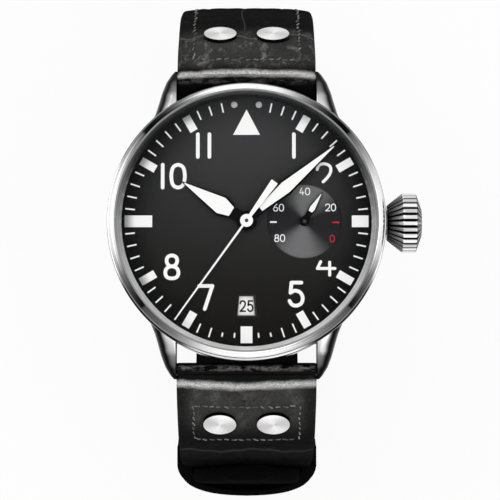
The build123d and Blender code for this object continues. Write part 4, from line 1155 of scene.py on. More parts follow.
def make(name: str, shape: Shape, finish: Finish, body: Body = Body.WATCH,
         replaces: Iterable[str] = (),
         crease: float = 32) -> bpy.types.Object:
    """One piece of the visual model.

    Args:
        name: The piece's name.
        shape: Its corners and faces.
        finish: What it is made of.
        body: The moving body that it rides on.
        replaces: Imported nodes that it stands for.
        crease: Angle in degrees above which an edge stays sharp.

    Returns:
        The piece.
    """
    mesh = bpy.data.meshes.new(name)
    work = bmesh.new()
    corners = [work.verts.new(corner * MM) for corner in shape.corners]
    for face in shape.faces:
        work.faces.new([corners[index] for index in face])
    bmesh.ops.remove_doubles(work, verts=work.verts, dist=1e-7)
    bmesh.ops.recalc_face_normals(work, faces=work.faces)
    for face in work.faces:
        face.smooth = True
    for edge in work.edges:
        if len(edge.link_faces) == 2 and edge.calc_face_angle(0) > math.radians(crease):
            edge.smooth = False
    work.to_mesh(mesh)
    work.free()
    piece = bpy.data.objects.new(name, mesh)
    bpy.context.scene.collection.objects.link(piece)
    mesh.materials.append(finish.material())
    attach(piece, body.value)
    if replaces:
        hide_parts(*replaces)
    log.info("%s: %d faces on %s", name, len(mesh.polygons), body.value)
    return piece


def dress(finish: Finish, *nodes: str) -> None:
    """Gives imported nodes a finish.

    Args:
        finish: The finish.
        nodes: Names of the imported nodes.
    """
    for node in nodes:
        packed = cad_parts[node]
        if not packed.material_slots:
            packed.data.materials.append(finish.material())
        for place in packed.material_slots:
            place.material = finish.material()
    log.info("%s dresses %s", finish.name, ", ".join(nodes))


class Pen:
    """Plain rounded figures drawn with one stroke width."""

    LINES: dict[str, list[tuple[bool, bool, list[Flat]]]] = {
        "0": [(True, True, [(0, 1), (0.72, 0.8), (1, 0.3), (1, -0.3), (0.72, -0.8), (0, -1),
                            (-0.72, -0.8), (-1, -0.3), (-1, 0.3), (-0.72, 0.8)])],
        "1": [(False, False, [(0, 1), (0, -1)])],
        "2": [(False, True, [(-1, 0.5), (-0.75, 0.86), (0, 1), (0.8, 0.82), (1, 0.42),
                             (0.72, -0.02), (0.1, -0.45), (-0.6, -0.82), (-1, -1)]),
              (False, False, [(-1, -1), (1, -1)])],
        "3": [(False, True, [(-0.95, 0.6), (-0.5, 0.95), (0.2, 0.98), (0.85, 0.7), (0.8, 0.25),
                             (0.1, 0.04)]),
              (False, True, [(0.1, 0.04), (0.85, -0.15), (1, -0.55), (0.55, -0.92), (-0.1, -1),
                             (-0.8, -0.85), (-1, -0.5)])],
        "4": [(False, False, [(-0.1, 1), (-1, -0.42), (1, -0.42)]),
              (False, False, [(0.4, 0.12), (0.4, -1)])],
        "5": [(False, False, [(0.8, 1), (-0.7, 1), (-0.85, 0.12)]),
              (False, True, [(-0.85, 0.12), (-0.2, 0.3), (0.6, 0.15), (1, -0.3), (0.8, -0.78),
                             (0.1, -1), (-0.6, -0.92), (-1, -0.6)])],
        "6": [(False, True, [(0.65, 1), (0, 0.75), (-0.65, 0.2), (-0.98, -0.35)]),
              (True, True, [(0, 0.1), (0.75, -0.08), (1, -0.45), (0.72, -0.85), (0, -1),
                            (-0.72, -0.85), (-1, -0.45), (-0.75, -0.08)])],
        "7": [(False, False, [(-1, 1), (1, 1), (-0.15, -1)])],
        "8": [(True, True, [(0, 1), (0.62, 0.86), (0.8, 0.52), (0.55, 0.18), (0, 0.05),
                            (-0.55, 0.18), (-0.8, 0.52), (-0.62, 0.86)]),
              (True, True, [(0, 0.05), (0.72, -0.1), (1, -0.48), (0.75, -0.88), (0, -1),
                            (-0.75, -0.88), (-1, -0.48), (-0.72, -0.1)])],
    }

    def __init__(self, half_width: float, half_height: float, line: float,
                 spared: Callable[[Flat], bool] = lambda point: False) -> None:
        """Keeps the size of a figure's middle line, the stroke's width and where it's left out.

        Args:
            half_width: Half the width of a figure's middle line.
            half_height: Half its height.
            line: Width of the stroke.
            spared: Tells the points that are left out.
        """
        self.half_width = half_width
        self.half_height = half_height
        self.line = line
        self.spared = spared

    def figure(self, sign: str, centre: Flat, low: float, high: float,
               turn: float = 0.0) -> Shape:
        """One figure.

        Args:
            sign: The digit.
            centre: Where its middle lies.
            low: Height of its underside.
            high: Height of its face.
            turn: Degrees that it is turned clockwise.

        Returns:
            The figure's shape.
        """
        flip = -1 if sign == "9" else 1
        cos, sin = math.cos(math.radians(turn)), math.sin(math.radians(turn))
        shape = Shape()
        for closed, smooth, corners in self.LINES["6" if flip < 0 else sign]:
            for run in [rounded(corners, closed)] if smooth else self.runs(corners):
                path = []
                for x, y in run:
                    across, up = flip * x * self.half_width, flip * y * self.half_height
                    path.append((centre[0] + across * cos + up * sin,
                                 centre[1] - across * sin + up * cos))
                path = [point for point in path if not self.spared(point)]
                if len(path) > 1:
                    shape.add(stroke(path, self.line, low, high, closed))
                    high += 0.003
        return shape

    @staticmethod
    def runs(corners: Sequence[Flat]) -> list[list[Flat]]:
        """The straight runs between corners, each in short steps."""
        return [[(ax + (bx - ax) * step / 12, ay + (by - ay) * step / 12) for step in range(13)]
                for (ax, ay), (bx, by) in zip(corners, corners[1:])]

    def word(self, signs: str, centre: Flat, low: float, high: float, gap: float,
             turn: float = 0.0) -> Shape:
        """Figures in a row.

        Args:
            signs: The digits.
            centre: Where the row's middle lies.
            low: Height of their underside.
            high: Height of their faces.
            gap: Space between two figures.
            turn: Degrees that the row is turned clockwise.

        Returns:
            The figures' shape.
        """
        cos, sin = math.cos(math.radians(turn)), math.sin(math.radians(turn))
        widths = [self.line if sign == "1" else 2 * self.half_width + self.line for sign in signs]
        start = -(sum(widths) + gap * (len(signs) - 1)) / 2
        shape = Shape()
        for sign, width in zip(signs, widths):
            middle = start + width / 2
            start += width + gap
            place = (centre[0] + middle * cos, centre[1] - middle * sin)
            shape.add(self.figure(sign, place, low, high, turn))
        return shape


@dataclass
class Case:
    """Case middle with its lugs, bezel, inner ring, crystal and back."""

    radius: float = 21.75
    foot_radius: float = 20.5
    foot_height: float = 1.2
    waist_height: float = 2.9
    top_height: float = 9.0
    bore_radius: float = 19.7
    top_bore_radius: float = 20.45
    dial_height: float = DIAL_TOP
    bezel_radius: float = 21.45
    bezel_height: float = 11.2
    cone_mouth: float = 20.28
    cone_top: float = 10.2
    cone_opening: float = DIAL_RADIUS
    lug_inner: float = STRAP_HALF
    lug_start: float = 12.6
    lug_end: float = 24.4
    lug_outer: tuple[Flat, ...] = (
        (12.6, 15.4), (15.2, 15.25), (17.5, 14.3), (20.9, 13.35), (22.6, 12.7), (23.7, 12.0),
        (24.25, 11.55), (24.4, 11.35),
    )
    lug_crest: tuple[Flat, ...] = (
        (12.6, 8.25), (15.5, 8.0), (18.0, 7.45), (20.5, 6.6), (22.6, 5.4), (23.8, 4.45),
        (24.4, 3.9),
    )
    lug_foot: tuple[Flat, ...] = (
        (12.6, 1.35), (19.6, 1.15), (22.8, 0.95), (23.5, 0.98), (24.1, 1.35), (24.4, 1.7),
    )

    def ring(self) -> Shape:
        """The turned band of the case middle.

        Returns:
            The band.
        """
        return turned([
            (self.bore_radius, self.foot_height), (self.foot_radius - 0.1, self.foot_height),
            (self.foot_radius, self.foot_height + 0.12), (self.radius - 0.1, self.waist_height),
            (self.radius, self.waist_height + 0.2), (self.radius, self.top_height - 0.2),
            (self.radius - 0.06, self.top_height - 0.06), (self.radius - 0.2, self.top_height),
            (self.top_bore_radius, self.top_height), (self.top_bore_radius, self.dial_height),
            (self.bore_radius, self.dial_height),
        ], closed=True, segments=192)

    def lug(self, across: int, up: int) -> Shape:
        """One lug, rounded over its outer edge and drawn down to its tip.

        Args:
            across: 1 for the crown's side, -1 for the other.
            up: 1 for twelve o'clock's side, -1 for six.

        Returns:
            The lug.
        """
        rings, inner, count = [], self.lug_inner, 32
        for step in range(count + 1):
            share = 1 - (1 - step / count) ** 1.6
            y = self.lug_start + (self.lug_end - self.lug_start) * share
            wide = between(y, self.lug_outer) - inner
            high, low = between(y, self.lug_crest), between(y, self.lug_foot)
            radius = min(0.85 * wide, 0.45 * (high - low), 2.3)
            edge = [
                (inner + wide - radius + radius * math.sin(turn),
                 high - radius + radius * math.cos(turn))
                for turn in (math.radians(9 * part) for part in range(11))
            ]
            section = [
                (inner, low + 0.2), (inner, high - 0.16), (inner + 0.05, high - 0.04),
                (inner + 0.14, high), *edge, (inner + wide, low + 0.3),
                (inner + wide - 0.12, low + 0.06), (inner + wide - 0.3 * min(1, wide), low),
                (inner + 0.2, low),
            ]
            rings.append([(x * across, y * up, z) for x, z in section])
        return loft(rings)

    def build(self) -> None:
        """Builds and dresses the case."""
        body = self.ring()
        for across in (-1, 1):
            for up in (-1, 1):
                body.add(self.lug(across, up))
        make("case_body", body, POLISHED, replaces=["case_middle"], crease=40)
        inner, outer, top = self.top_bore_radius, self.bezel_radius, self.bezel_height
        make("bezel_ring", turned([
            (inner, self.top_height), (outer, self.top_height), (outer, top - 1.0),
            (outer - 0.02, top - 0.8), (outer - 0.12, top - 0.5), (outer - 0.3, top - 0.16),
            (outer - 0.42, top - 0.04), (outer - 0.52, top), (inner + 0.12, top),
            (inner + 0.04, top - 0.03), (inner, top - 0.12),
        ], closed=True, segments=224), BEZEL, replaces=["bezel"], crease=50)
        mouth, opening = self.cone_mouth, self.cone_opening
        low, high = self.dial_height, self.cone_top
        make("inner_cone", turned([
            (opening, low), (inner, low), (inner, high), (mouth, high), (mouth - 0.14, 9.85),
            (opening + 0.14, 8.7),
        ], closed=True, segments=224), InnerRing("inner_ring_polish", low, high),
            replaces=["rehaut_ring"])
        dress(SAPPHIRE, "crystal")
        dress(BACK_SAPPHIRE, "back_glass")
        dress(CLEAR_GASKET, "crystal_gasket")
        dress(RUBBER, "crown_gasket")
        dress(BACK_STEEL, "case_back")
        dress(Plain("movement_ring_plastic", tone(150, 148, 142), 0.5), "movement_ring")


@dataclass
class Crown:
    """Fluted double-cone crown on its stem."""

    start: float = 21.95
    height: float = 5.6
    flutes: int = 28
    depth_share: float = 0.0735
    smooth_radius: float = 2.15
    rim_start: float = 2.42
    rim_end: float = 4.52
    phases: tuple[float, ...] = (
        -0.5, -0.44, -0.38, -0.32, -0.22, -0.08, 0.08, 0.22, 0.32, 0.38, 0.44,
    )
    stations: tuple[Flat, ...] = (
        (2.6, 0.62), (2.6, 2.0), (0.06, 2.0), (0.0, 2.1), (0.0, 2.62), (0.08, 2.78),
        (0.8, 3.37), (1.6, 3.98), (2.28, 4.5), (2.4, 4.585), (2.55, 4.622), (2.7, 4.625),
        (3.5, 4.625), (4.3, 4.625), (4.45, 4.622), (4.58, 4.56), (4.68, 4.34), (4.95, 3.6),
        (5.25, 2.78), (5.38, 2.4), (5.44, 2.2), (5.45, 1.9),
    )

    def build(self) -> None:
        """Builds the crown's flutes and dresses the stem's parts."""
        rings = []
        for reach, radius in self.stations:
            cut = self.depth_share if radius > self.smooth_radius else 0.0
            ring = []
            for flute in range(self.flutes):
                for phase in self.phases:
                    groove = ease(abs(phase), 0.24, 0.5) + 0.25 * (2 * phase) ** 2
                    local = radius * (1 - cut * groove)
                    turn = 2 * math.pi * (flute + phase + 0.5) / self.flutes
                    ring.append((self.start + reach, local * math.sin(turn),
                                 self.height + local * math.cos(turn)))
            rings.append(ring)
        steel = CrownPolish("crown_polish", self.flutes, self.height,
                            self.start + self.rim_start, self.start + self.rim_end)
        make("crown_fluted", loft(rings), steel, Body.CROWN, ["crown"], 38)
        dress(STEM_STEEL, "crown_tube", "winding_stem", "winding_pinion", "sliding_pinion")


@dataclass
class Dial:
    """Dial, its printing, markers, date window and date disc."""

    top: float = DIAL_TOP
    subdial_x: float = SUBDIAL_X
    subdial_radius: float = 5.82
    subdial_depth: float = 0.12
    dot_reach: float = 18.45
    tick_start: float = 17.5
    tick_end: float = 19.0
    tick_half: float = 0.115
    date_depth: float = 0.5
    month_days: int = 31
    shown_day: int = 25
    print_rise: float = 0.018
    window_offset: float = 13.2
    subdial_margin: float = 0.95
    figure_rise: float = 0.2
    small_pen: Pen = field(default_factory=lambda: Pen(0.32, 0.53, 0.14))
    date_pen: Pen = field(default_factory=lambda: Pen(0.38, 0.8, 0.25))

    def near_subdial(self, point: Flat) -> bool:
        """Whether a point of the printing would lie too near the sub-dial."""
        reach = math.hypot(point[0] - self.subdial_x, point[1])
        return reach < self.subdial_radius + self.subdial_margin

    def numerals(self) -> Shape:
        """The hour figures, cut off where the sub-dial begins.

        Returns:
            The print's shape.
        """
        pen = Pen(1.02, 1.79, 0.57)
        cut = Pen(1.06, 1.79, 0.46, self.near_subdial)
        wide = Pen(1.36, 1.79, 0.46, self.near_subdial)
        shape = Shape()
        for nib, signs, (x, y), gap in (
            (pen, "1", (7.4, 11.71), 0.0), (cut, "2", (12.1, 7.05), 0.0),
            (wide, "4", (12.38, -6.82), 0.0), (pen, "5", (7.7, -11.57), 0.0),
            (pen, "7", (-6.33, -12.09), 0.0), (pen, "8", (-11.61, -7.33), 0.0),
            (pen, "10", (-11.38, 6.89), 0.81), (pen, "11", (-6.71, 11.71), 1.24),
        ):
            shape.add(nib.word(signs, (x, y + self.figure_rise), self.top,
                               self.top + self.print_rise, gap))
        return shape

    def track(self) -> Shape:
        """The minute ticks between the markers.

        Returns:
            The print's shape.
        """
        shape = Shape()
        # The ticks beside six are short, and two dots stand in for those beside twelve.
        short = {1: (17.5, 18.25), 2: (17.75, 18.4)}
        for minute in range(MINUTES):
            if minute % 5 == 0 or minute in (1, MINUTES - 1):
                continue
            low, high = short.get(abs(minute - MINUTES // 2), (self.tick_start, self.tick_end))
            x, y = on_dial(1, 360 / MINUTES * minute)
            half = self.tick_half
            shape.add(prism([
                (x * low + y * half, y * low - x * half), (x * low - y * half, y * low + x * half),
                (x * high - y * half, y * high + x * half),
                (x * high + y * half, y * high - x * half),
            ], self.top, self.top + self.print_rise))
        return shape

    def scale(self) -> tuple[Shape, Shape]:
        """The sub-dial's white figures and its red end mark.

        Returns:
            The white print and the red one.
        """
        low = self.top - self.subdial_depth
        high = low + self.print_rise
        white = Shape()
        for signs, centre in (("80", (5.16, -2.62)), ("60", (4.99, 2.16)), ("40", (9.07, 4.7)),
                              ("20", (13.1, 2.19))):
            white.add(self.small_pen.word(signs, centre, low, high, 0.12))
        white.add(prism([(3.66, -0.22), (4.7, -0.22), (4.7, 0.02), (3.66, 0.02)], low, high))
        red = self.small_pen.figure("0", (13.35, -2.7), low, high)
        red.add(prism([(13.4, -0.27), (14.45, -0.27), (14.45, -0.03), (13.4, -0.03)], low, high))
        return white, red

    def window(self) -> Shape:
        """A sloping frame round the date window.

        Returns:
            The frame.
        """
        middle = -self.window_offset
        outer = [(-1.52, middle - 1.72), (1.62, middle - 1.72), (1.3, middle + 1.7),
                 (-1.22, middle + 1.7)]
        inner = [(-1.38, middle - 1.42), (1.22, middle - 1.42), (0.98, middle + 1.5),
                 (-1.1, middle + 1.5)]
        top = self.top + 0.02
        rings = [[(x, y, z) for x, y in loop] for loop, z in
                 ((outer, self.top - 0.02), (outer, top), (inner, self.top - 0.3),
                  (inner, self.top - 0.34))]
        return loft(rings, closed=True)

    def dates(self) -> Shape:
        """The month's figures on the date disc, with the twenty-fifth in the window.

        Returns:
            The print's shape.
        """
        high = self.top - self.date_depth + 0.012
        shape = Shape()
        for day in range(1, self.month_days + 1):
            heading = 180 + 360 * (day - self.shown_day) / self.month_days
            centre = on_dial(self.window_offset, heading)
            shape.add(self.date_pen.word(str(day), centre, high - 0.03, high, 0.16,
                                         turn=heading - 180))
        return shape

    def build(self) -> None:
        """Builds and dresses the dial."""
        dress(DialEnamel("dial_enamel", self.subdial_x, self.subdial_radius, DIAL_RADIUS), "dial")
        dress(MARKER_LUME, "dial_markers")
        dress(DATE_WHITE, "date_disc")
        dots = Shape()
        for side in (-1, 1):
            dots.add(turned([
                (0.5, self.top), (0.5, self.top + 0.06), (0.44, self.top + 0.11),
                (0.3, self.top + 0.155), (0.14, self.top + 0.176), (0.02, self.top + 0.18),
            ], on_dial(self.dot_reach, 360 / MINUTES * side), segments=32))
        make("dial_domes", dots, Plain("dot_white", tone(196, 196, 198), 0.3, mottle=0.3),
             replaces=["dial_dots"], crease=60)
        make("hour_numerals", self.numerals(), WHITE_PRINT)
        make("minute_track", self.track(), WHITE_PRINT)
        white, red = self.scale()
        make("reserve_scale", white, WHITE_PRINT)
        make("reserve_end_mark", red, RED_PRINT)
        make("date_frame", self.window(), Plain("date_frame_grey", tone(150), 0.35, metallic=0.6))
        make("date_figures", self.dates(), BLACK_PRINT, Body.DATE)


@dataclass
class Hands:
    """Hands with their white inlays and the pin of the seconds hand."""

    inlays: tuple[tuple[Body, float, tuple[Flat, ...], float, Flat], ...] = (
        (Body.HOUR, 301.4, ((2.75, 0.78), (4.62, 1.36), (11.35, 0.07)), 8.94, (0, 0)),
        (Body.MINUTE, 49.5, ((2.85, 0.44), (8.0, 0.95), (17.95, 0.06)), 9.32, (0, 0)),
        (Body.RESERVE, 31.7, ((1.75, 0.3), (2.35, 0.42), (5.0, 0.04)), 8.62, (SUBDIAL_X, 0)),
    )
    pin: tuple[Flat, ...] = ((0.28, 9.6), (0.28, 9.76), (0.2, 9.8), (0.05, 9.81))

    def inlay(self, heading: float, outline: Sequence[Flat], top: float,
              centre: Flat) -> Shape:
        """A white inlay on a hand.

        Args:
            heading: Where the hand points.
            outline: (reach, half width) points from the hub outward.
            top: Height of the hand's face.
            centre: The hand's axis.

        Returns:
            The inlay, slightly domed.
        """
        ux, uy = on_dial(1, heading)
        loop = [*outline, *[(reach, -half) for reach, half in reversed(outline)]]

        def at(reach: float, half: float, z: float) -> Triple:
            """A point on the hand."""
            return (centre[0] + ux * reach + uy * half, centre[1] + uy * reach - ux * half, z)

        middle = (outline[0][0] + outline[-1][0]) / 2
        rings = [
            [at(reach, half, top - 0.02) for reach, half in loop],
            [at(reach, half, top + 0.02) for reach, half in loop],
            [at(middle + (reach - middle) * 0.98, half * 0.8, top + 0.035) for reach, half in loop],
        ]
        return loft(rings)

    def build(self) -> None:
        """Builds the inlays and dresses the hands."""
        dress(HAND_BLACK, "hour_hand", "minute_hand", "reserve_hand")
        dress(HAND_WHITE, "seconds_hand")
        for body, heading, outline, top, centre in self.inlays:
            make(f"{body.value}_inlay", self.inlay(heading, outline, top, centre), HAND_LUME,
                 body)
        make("seconds_pin", turned(self.pin, segments=32), PIN_STEEL, Body.SECONDS)


@dataclass
class Movement:
    """Wheels, bridges, rotor and jewels under the back glass."""

    jewels: tuple[Triple, ...] = (
        (-5.409, -1.449, 0.62), (1.449, -5.409, 0.5), (4.8, -8.314, 0.72),
    )

    def build(self) -> None:
        """Dresses the movement and sets its jewels."""
        dress(PLATE_SPOTS, "main_plate")
        dress(BRIDGE_STRIPES, "barrel_bridge", "train_bridge", "balance_cock")
        dress(ROTOR_STRIPES, "rotor")
        dress(STEEL_WORK, "rotor_bearing", "pallet_fork", "escape_wheel", "cannon_pinion",
              "ratchet_wheel", "crown_wheel")
        dress(PIN_STEEL, "reserve_arbor")
        dress(WHEEL_GILT, "centre_wheel", "third_wheel", "fourth_wheel", "minute_wheel",
              "hour_wheel", "balance_wheel")
        dress(GILT, "mainspring_barrel")
        dress(SPRING_BLUE, "hairspring")
        dress(BLUED, "bridge_screws")
        rubies, settings = Shape(), Shape()
        for x, y, radius in self.jewels:
            stone = radius * 0.6
            for shape, profile in (
                (rubies, [(0.06, 2.9), (stone, 2.88), (stone, 2.96), (0.06, 2.96)]),
                (settings, [(stone, 2.92), (radius * 0.7, 2.87), (radius, 2.86), (radius, 2.95),
                            (stone, 2.95)]),
            ):
                shape.add(turned(profile, (x, y), closed=True, segments=40))
        make("bridge_jewels", rubies, RUBY)
        make("jewel_settings", settings, GILT)


@dataclass(frozen=True)
class Spot:
    """One station of the strap: distance, place and heading in the side view."""

    distance: float
    y: float
    z: float
    turn: float

    def point(self, x: float, rise: float, side: int) -> Vector:
        """A point x across the strap and a rise away from the wrist."""
        return Vector((x, side * (self.y + rise * math.sin(self.turn)),
                       self.z + rise * math.cos(self.turn)))

    def stud(self, x: float, side: int, profile: Sequence[Flat], sides: int) -> Shape:
        """A round piece that stands on the strap.

        Args:
            x: Place across the strap.
            side: 1 for the strap at twelve o'clock, -1 for the one at six.
            profile: (radius, height) points from its foot up.
            sides: Sides round it.

        Returns:
            The piece.
        """
        sin, cos = math.sin(self.turn), math.cos(self.turn)
        origin, out = Vector((x, side * self.y, self.z)), Vector((0, side * sin, cos))
        across, along = Vector((1, 0, 0)), Vector((0, side * cos, -sin))
        return loft([hoop(origin + out * height, across, along, radius, sides)
                     for radius, height in profile])


class Route:
    """A strap's seam in the side view, made of arcs and lines."""

    def __init__(self, stretches: Sequence[Flat], y: float = BAR_Y, z: float = SEAM_HEIGHT,
                 turn: float = 20.0) -> None:
        """Lays the stretches end to end.

        Args:
            stretches: (radius, degrees) of each arc and (0, length) of each line.
            y: Where the first one starts.
            z: Height at which it starts.
            turn: Degrees that it points down at its start.
        """
        self.pieces = []
        distance, angle = 0.0, math.radians(turn)
        for radius, amount in stretches:
            length = amount if not radius else radius * math.radians(abs(amount))
            self.pieces.append((distance, length, radius, amount, y, z, angle))
            end = self.along(self.pieces[-1], length)
            y, z, angle = end.y, end.z, end.turn
            distance += length
        self.length = distance

    @staticmethod
    def along(piece: tuple, passed: float) -> Spot:
        """The spot at a distance into one stretch.

        Args:
            piece: The stretch's start, length, radius, amount, y, z and heading.
            passed: Distance into it.

        Returns:
            The spot.
        """
        distance, _, radius, amount, y, z, angle = piece
        if not radius:
            return Spot(distance + passed, y + passed * math.cos(angle),
                        z - passed * math.sin(angle), angle)
        sign = 1 if amount > 0 else -1
        ahead = angle + sign * passed / radius
        return Spot(
            distance + passed,
            y + sign * radius * (math.sin(ahead) - math.sin(angle)),
            z + sign * radius * (math.cos(ahead) - math.cos(angle)),
            ahead,
        )

    def at(self, distance: float) -> Spot:
        """The spot at a distance from the spring bar.

        Args:
            distance: The distance along the seam.

        Returns:
            The spot.
        """
        for piece in self.pieces:
            if distance <= piece[0] + piece[1]:
                return self.along(piece, distance - piece[0])
        return self.along(self.pieces[-1], distance - self.pieces[-1][0])


# Both pieces bend alike to the wrist's lower corner. The long one then dips below the other by
# one layer, runs flat and turns up round the other corner.
BEND = 20.0
LAYER = 2.75
HOLED_STRETCH = 7
COMMON = ((6.0, 36.0), (0.0, 9.0), (32.0, 34.0), (BEND, 90.0))
CROSSING = math.degrees(math.acos(1 - LAYER / (2 * BEND)))
FLAT_START = CORNER_Y - 2 * BEND * math.sin(math.radians(CROSSING))
LONG_ROUTE = Route((*COMMON, (BEND, -CROSSING), (BEND, CROSSING), (0.0, FLAT_START + CORNER_Y),
                    (BEND + LAYER, 90.0), (34.75, 11.0)))
SHORT_ROUTE = Route((*COMMON, (0.0, 4.0 + CORNER_Y)))


@dataclass
class StrapPiece:
    """One padded strap piece: embossed leather, lining and stitches."""

    name: str
    route: Route
    side: int
    pad: Flat
    creases: tuple[Triple, ...]
    stitch_box: tuple[float, float | None]
    tip: float = 0.0
    seed: int = 3
    edge_inset: float = 2.6
    curved_end: bool = False
    tip_taper: float = 0.6
    corner: float = 0.8
    groove: float = 0.32
    nose_radius: float = 1.4
    tip_margin: float = 7.8
    stitch_pitch: float = 1.35
    row_pitch: float = 1.16
    stitch_radius: float = 0.145

    def half(self, distance: float) -> float:
        """Half the width, from 11 at the lugs to 9 at the buckle.

        Args:
            distance: Distance from the spring bar.

        Returns:
            Half the width there.
        """
        wide = STRAP_HALF - 2.0 * ease(distance, 31.76, 63.17)
        if self.tip:
            end = self.route.length
            wide *= 1 - self.tip_taper * ease(distance, end - self.tip, end) ** 3
        return wide

    def thickness(self, distance: float) -> float:
        """Thickness of the outer leather at a distance."""
        padded = 1.6 + 1.5 * (1 - ease(distance, *self.pad))
        return 1.8 + (padded - 1.8) * ease(distance, 0, 5.28)

    def crown(self, distance: float, x: float) -> float:
        """Height of the leather over the seam, flat across and falling at the edges."""
        return self.thickness(distance) * (1 - 0.2 * abs(x / self.half(distance)) ** 4)

    def sewn(self) -> float:
        """Distance at which the rows along both edges end."""
        closed = self.stitch_box[1]
        return self.route.length - self.tip_margin if closed is None else closed + 0.2

    def relief(self, distance: float, x: float, half: float) -> float:
        """How far the embossing and the stitching lie under the surface.

        Args:
            distance: Distance from the spring bar.
            x: Place across the strap.
            half: Half the strap's width there.

        Returns:
            The drop in millimetres.
        """
        drop = 0.14 * math.exp(-(((abs(x) - (half - self.edge_inset)) / self.groove) ** 2))
        if not self.stitch_box[0] - 0.6 < distance < self.sewn() + 0.6:
            drop = 0.0
        for row in self.stitch_box:
            if row is not None and abs(x) < half - self.edge_inset:
                drop += 0.12 * math.exp(-(((distance - row) / self.groove) ** 2))
        for index, (middle, swing, depth) in enumerate(self.creases):
            line = middle + swing * math.sin(0.42 * x + 1.7 * index) + 0.22 * math.sin(1.9 * x)
            drop += depth * math.exp(-(((distance - line) / 0.3) ** 2))
            if index + 1 < len(self.creases):
                last = self.creases[index + 1][0]
                if middle < distance < last:
                    for column in (-6.3, -0.85 + 0.7 * math.sin(index * 2.1), 5.9):
                        line = column + 0.3 * math.sin(distance * 0.9 + column)
                        fade = ease(distance, middle, middle + 0.8) * (
                            1 - ease(distance, last - 0.8, last))
                        drop += 0.8 * depth * fade * math.exp(-(((x - line) / 0.26) ** 2))
        drop += 0.035 * math.sin(1.7 * distance + 0.9 * x) * math.sin(1.1 * x - 0.6 * distance)
        return drop

    def ring(self, spot: Spot) -> list[Vector]:
        """The outline of the leather across the strap at one spot.

        Args:
            spot: The spot on the seam.

        Returns:
            The outline's corners.
        """
        half = self.half(spot.distance)
        points = [spot.point(half, 0, self.side), spot.point(-half, 0, self.side)]
        columns = 56
        for column in range(columns + 1):
            share = -math.cos(math.pi * column / columns)
            share = 0.35 * share + 0.65 * (2 * column / columns - 1)
            x = share * half
            inset = half - abs(x)
            crown = self.crown(spot.distance, x)
            corner = self.corner
            if inset < corner:
                crown -= corner - math.sqrt(max(corner ** 2 - (corner - inset) ** 2, 0))
            lift = crown - self.relief(spot.distance, x, half) * ease(inset, 0.0, 0.6)
            points.append(spot.point(x, lift, self.side))
        return points

    def nose(self) -> Shape:
        """The turned end of the leather round the spring bar, cut to the case where told.

        Returns:
            The turned end.
        """
        rings = []
        stations = [-10.92, *[-10.6 + 21.2 * step / 40 for step in range(41)], 10.92]
        for x, radius in [(-STRAP_HALF, 1.2),
                          *[(x, 1.33 if abs(x) > 10.7 else self.nose_radius) for x in stations],
                          (STRAP_HALF, 1.2)]:
            reach = 0.0
            if self.curved_end:
                reach = max(0.0, 21.8 - math.sqrt(22.1 ** 2 - x * x))
            ring = []
            for step in range(25):
                turn = math.radians(20 - 200 * step / 24)
                inward = reach * max(0.0, -math.sin(turn)) ** 0.7
                ring.append((x, self.side * (BAR_Y + radius * math.sin(turn) - inward),
                             BAR_HEIGHT + radius * math.cos(turn)))
            for step in range(13):
                turn = math.radians(-180 + 200 * step / 12)
                ring.append((x, self.side * (BAR_Y + 0.82 * math.sin(turn)),
                             BAR_HEIGHT + 0.82 * math.cos(turn)))
            rings.append(ring)
        return loft(rings)

    def leather(self) -> Shape:
        """The embossed outer leather.

        Returns:
            The leather with its turned end.
        """
        count = int(self.route.length / 0.42)
        spots = [self.route.at(self.route.length * step / count) for step in range(count + 1)]
        return loft([self.ring(spot) for spot in spots]).add(self.nose())

    def lining(self) -> Shape:
        """The flat lining against the wrist.

        Returns:
            The lining.
        """
        rings = []
        start, count = 1.5, 110
        for step in range(count + 1):
            spot = self.route.at(start + (self.route.length - start) * step / count)
            half = self.half(spot.distance) - 0.03
            rings.append([
                spot.point(x, rise, self.side) for x, rise in (
                    (half, -0.02), (half, -0.75), (half - 0.08, -0.93), (half - 0.25, -1.0),
                    (-half + 0.25, -1.0), (-half + 0.08, -0.93), (-half, -0.75), (-half, -0.02),
                )
            ])
        return loft(rings)

    def stitches(self) -> Shape:
        """Threads in rows along both edges and across the box round the rivets.

        Returns:
            The threads.
        """
        rng = random.Random(self.seed)
        shape = Shape()

        def thread(d0: float, x0: float, d1: float, x1: float) -> None:
            """One stitch between two places on the leather.

            Args:
                d0: Distance at which it starts.
                x0: Place across the strap at its start.
                d1: Distance at which it ends.
                x1: Place across the strap at its end.
            """
            ends = []
            for distance, x in ((d0, x0), (d1, x1)):
                spot = self.route.at(distance)
                half = self.half(distance)
                rise = self.crown(distance, x) - self.relief(distance, x, half)
                ends.append(spot.point(x, rise + 0.05, self.side))
            shape.add(capsule(*ends, self.stitch_radius))

        distance = self.stitch_box[0]
        while distance < self.sewn():
            for side in (-1, 1):
                x = side * (self.half(distance) - self.edge_inset)
                slip, slant = rng.uniform(-0.12, 0.12), rng.uniform(0.03, 0.24)
                thread(distance + 0.1, x + slip - slant, distance + rng.uniform(0.8, 1.1),
                       x + slip + slant)
            distance += self.stitch_pitch
        for row in self.stitch_box:
            if row is None:
                continue
            reach = self.half(row) - self.edge_inset
            x = -reach + 0.15
            while x < reach - 0.6:
                slip, slant = rng.uniform(-0.12, 0.12), rng.uniform(-0.05, 0.22)
                thread(row + slip - slant, x, row + slip + slant, x + rng.uniform(0.75, 1.0))
                x += self.row_pitch
        return shape

    def build(self) -> None:
        """Builds the leather, its lining and its stitches."""
        outer = make(f"{self.name}_leather", self.leather(), STRAP_LEATHER,
                     replaces=[self.name], crease=50)
        make(f"{self.name}_lining_skin", self.lining(), LINING,
             replaces=[f"{self.name}_lining"], crease=50)
        make(f"{self.name}_stitches", self.stitches(), THREAD)


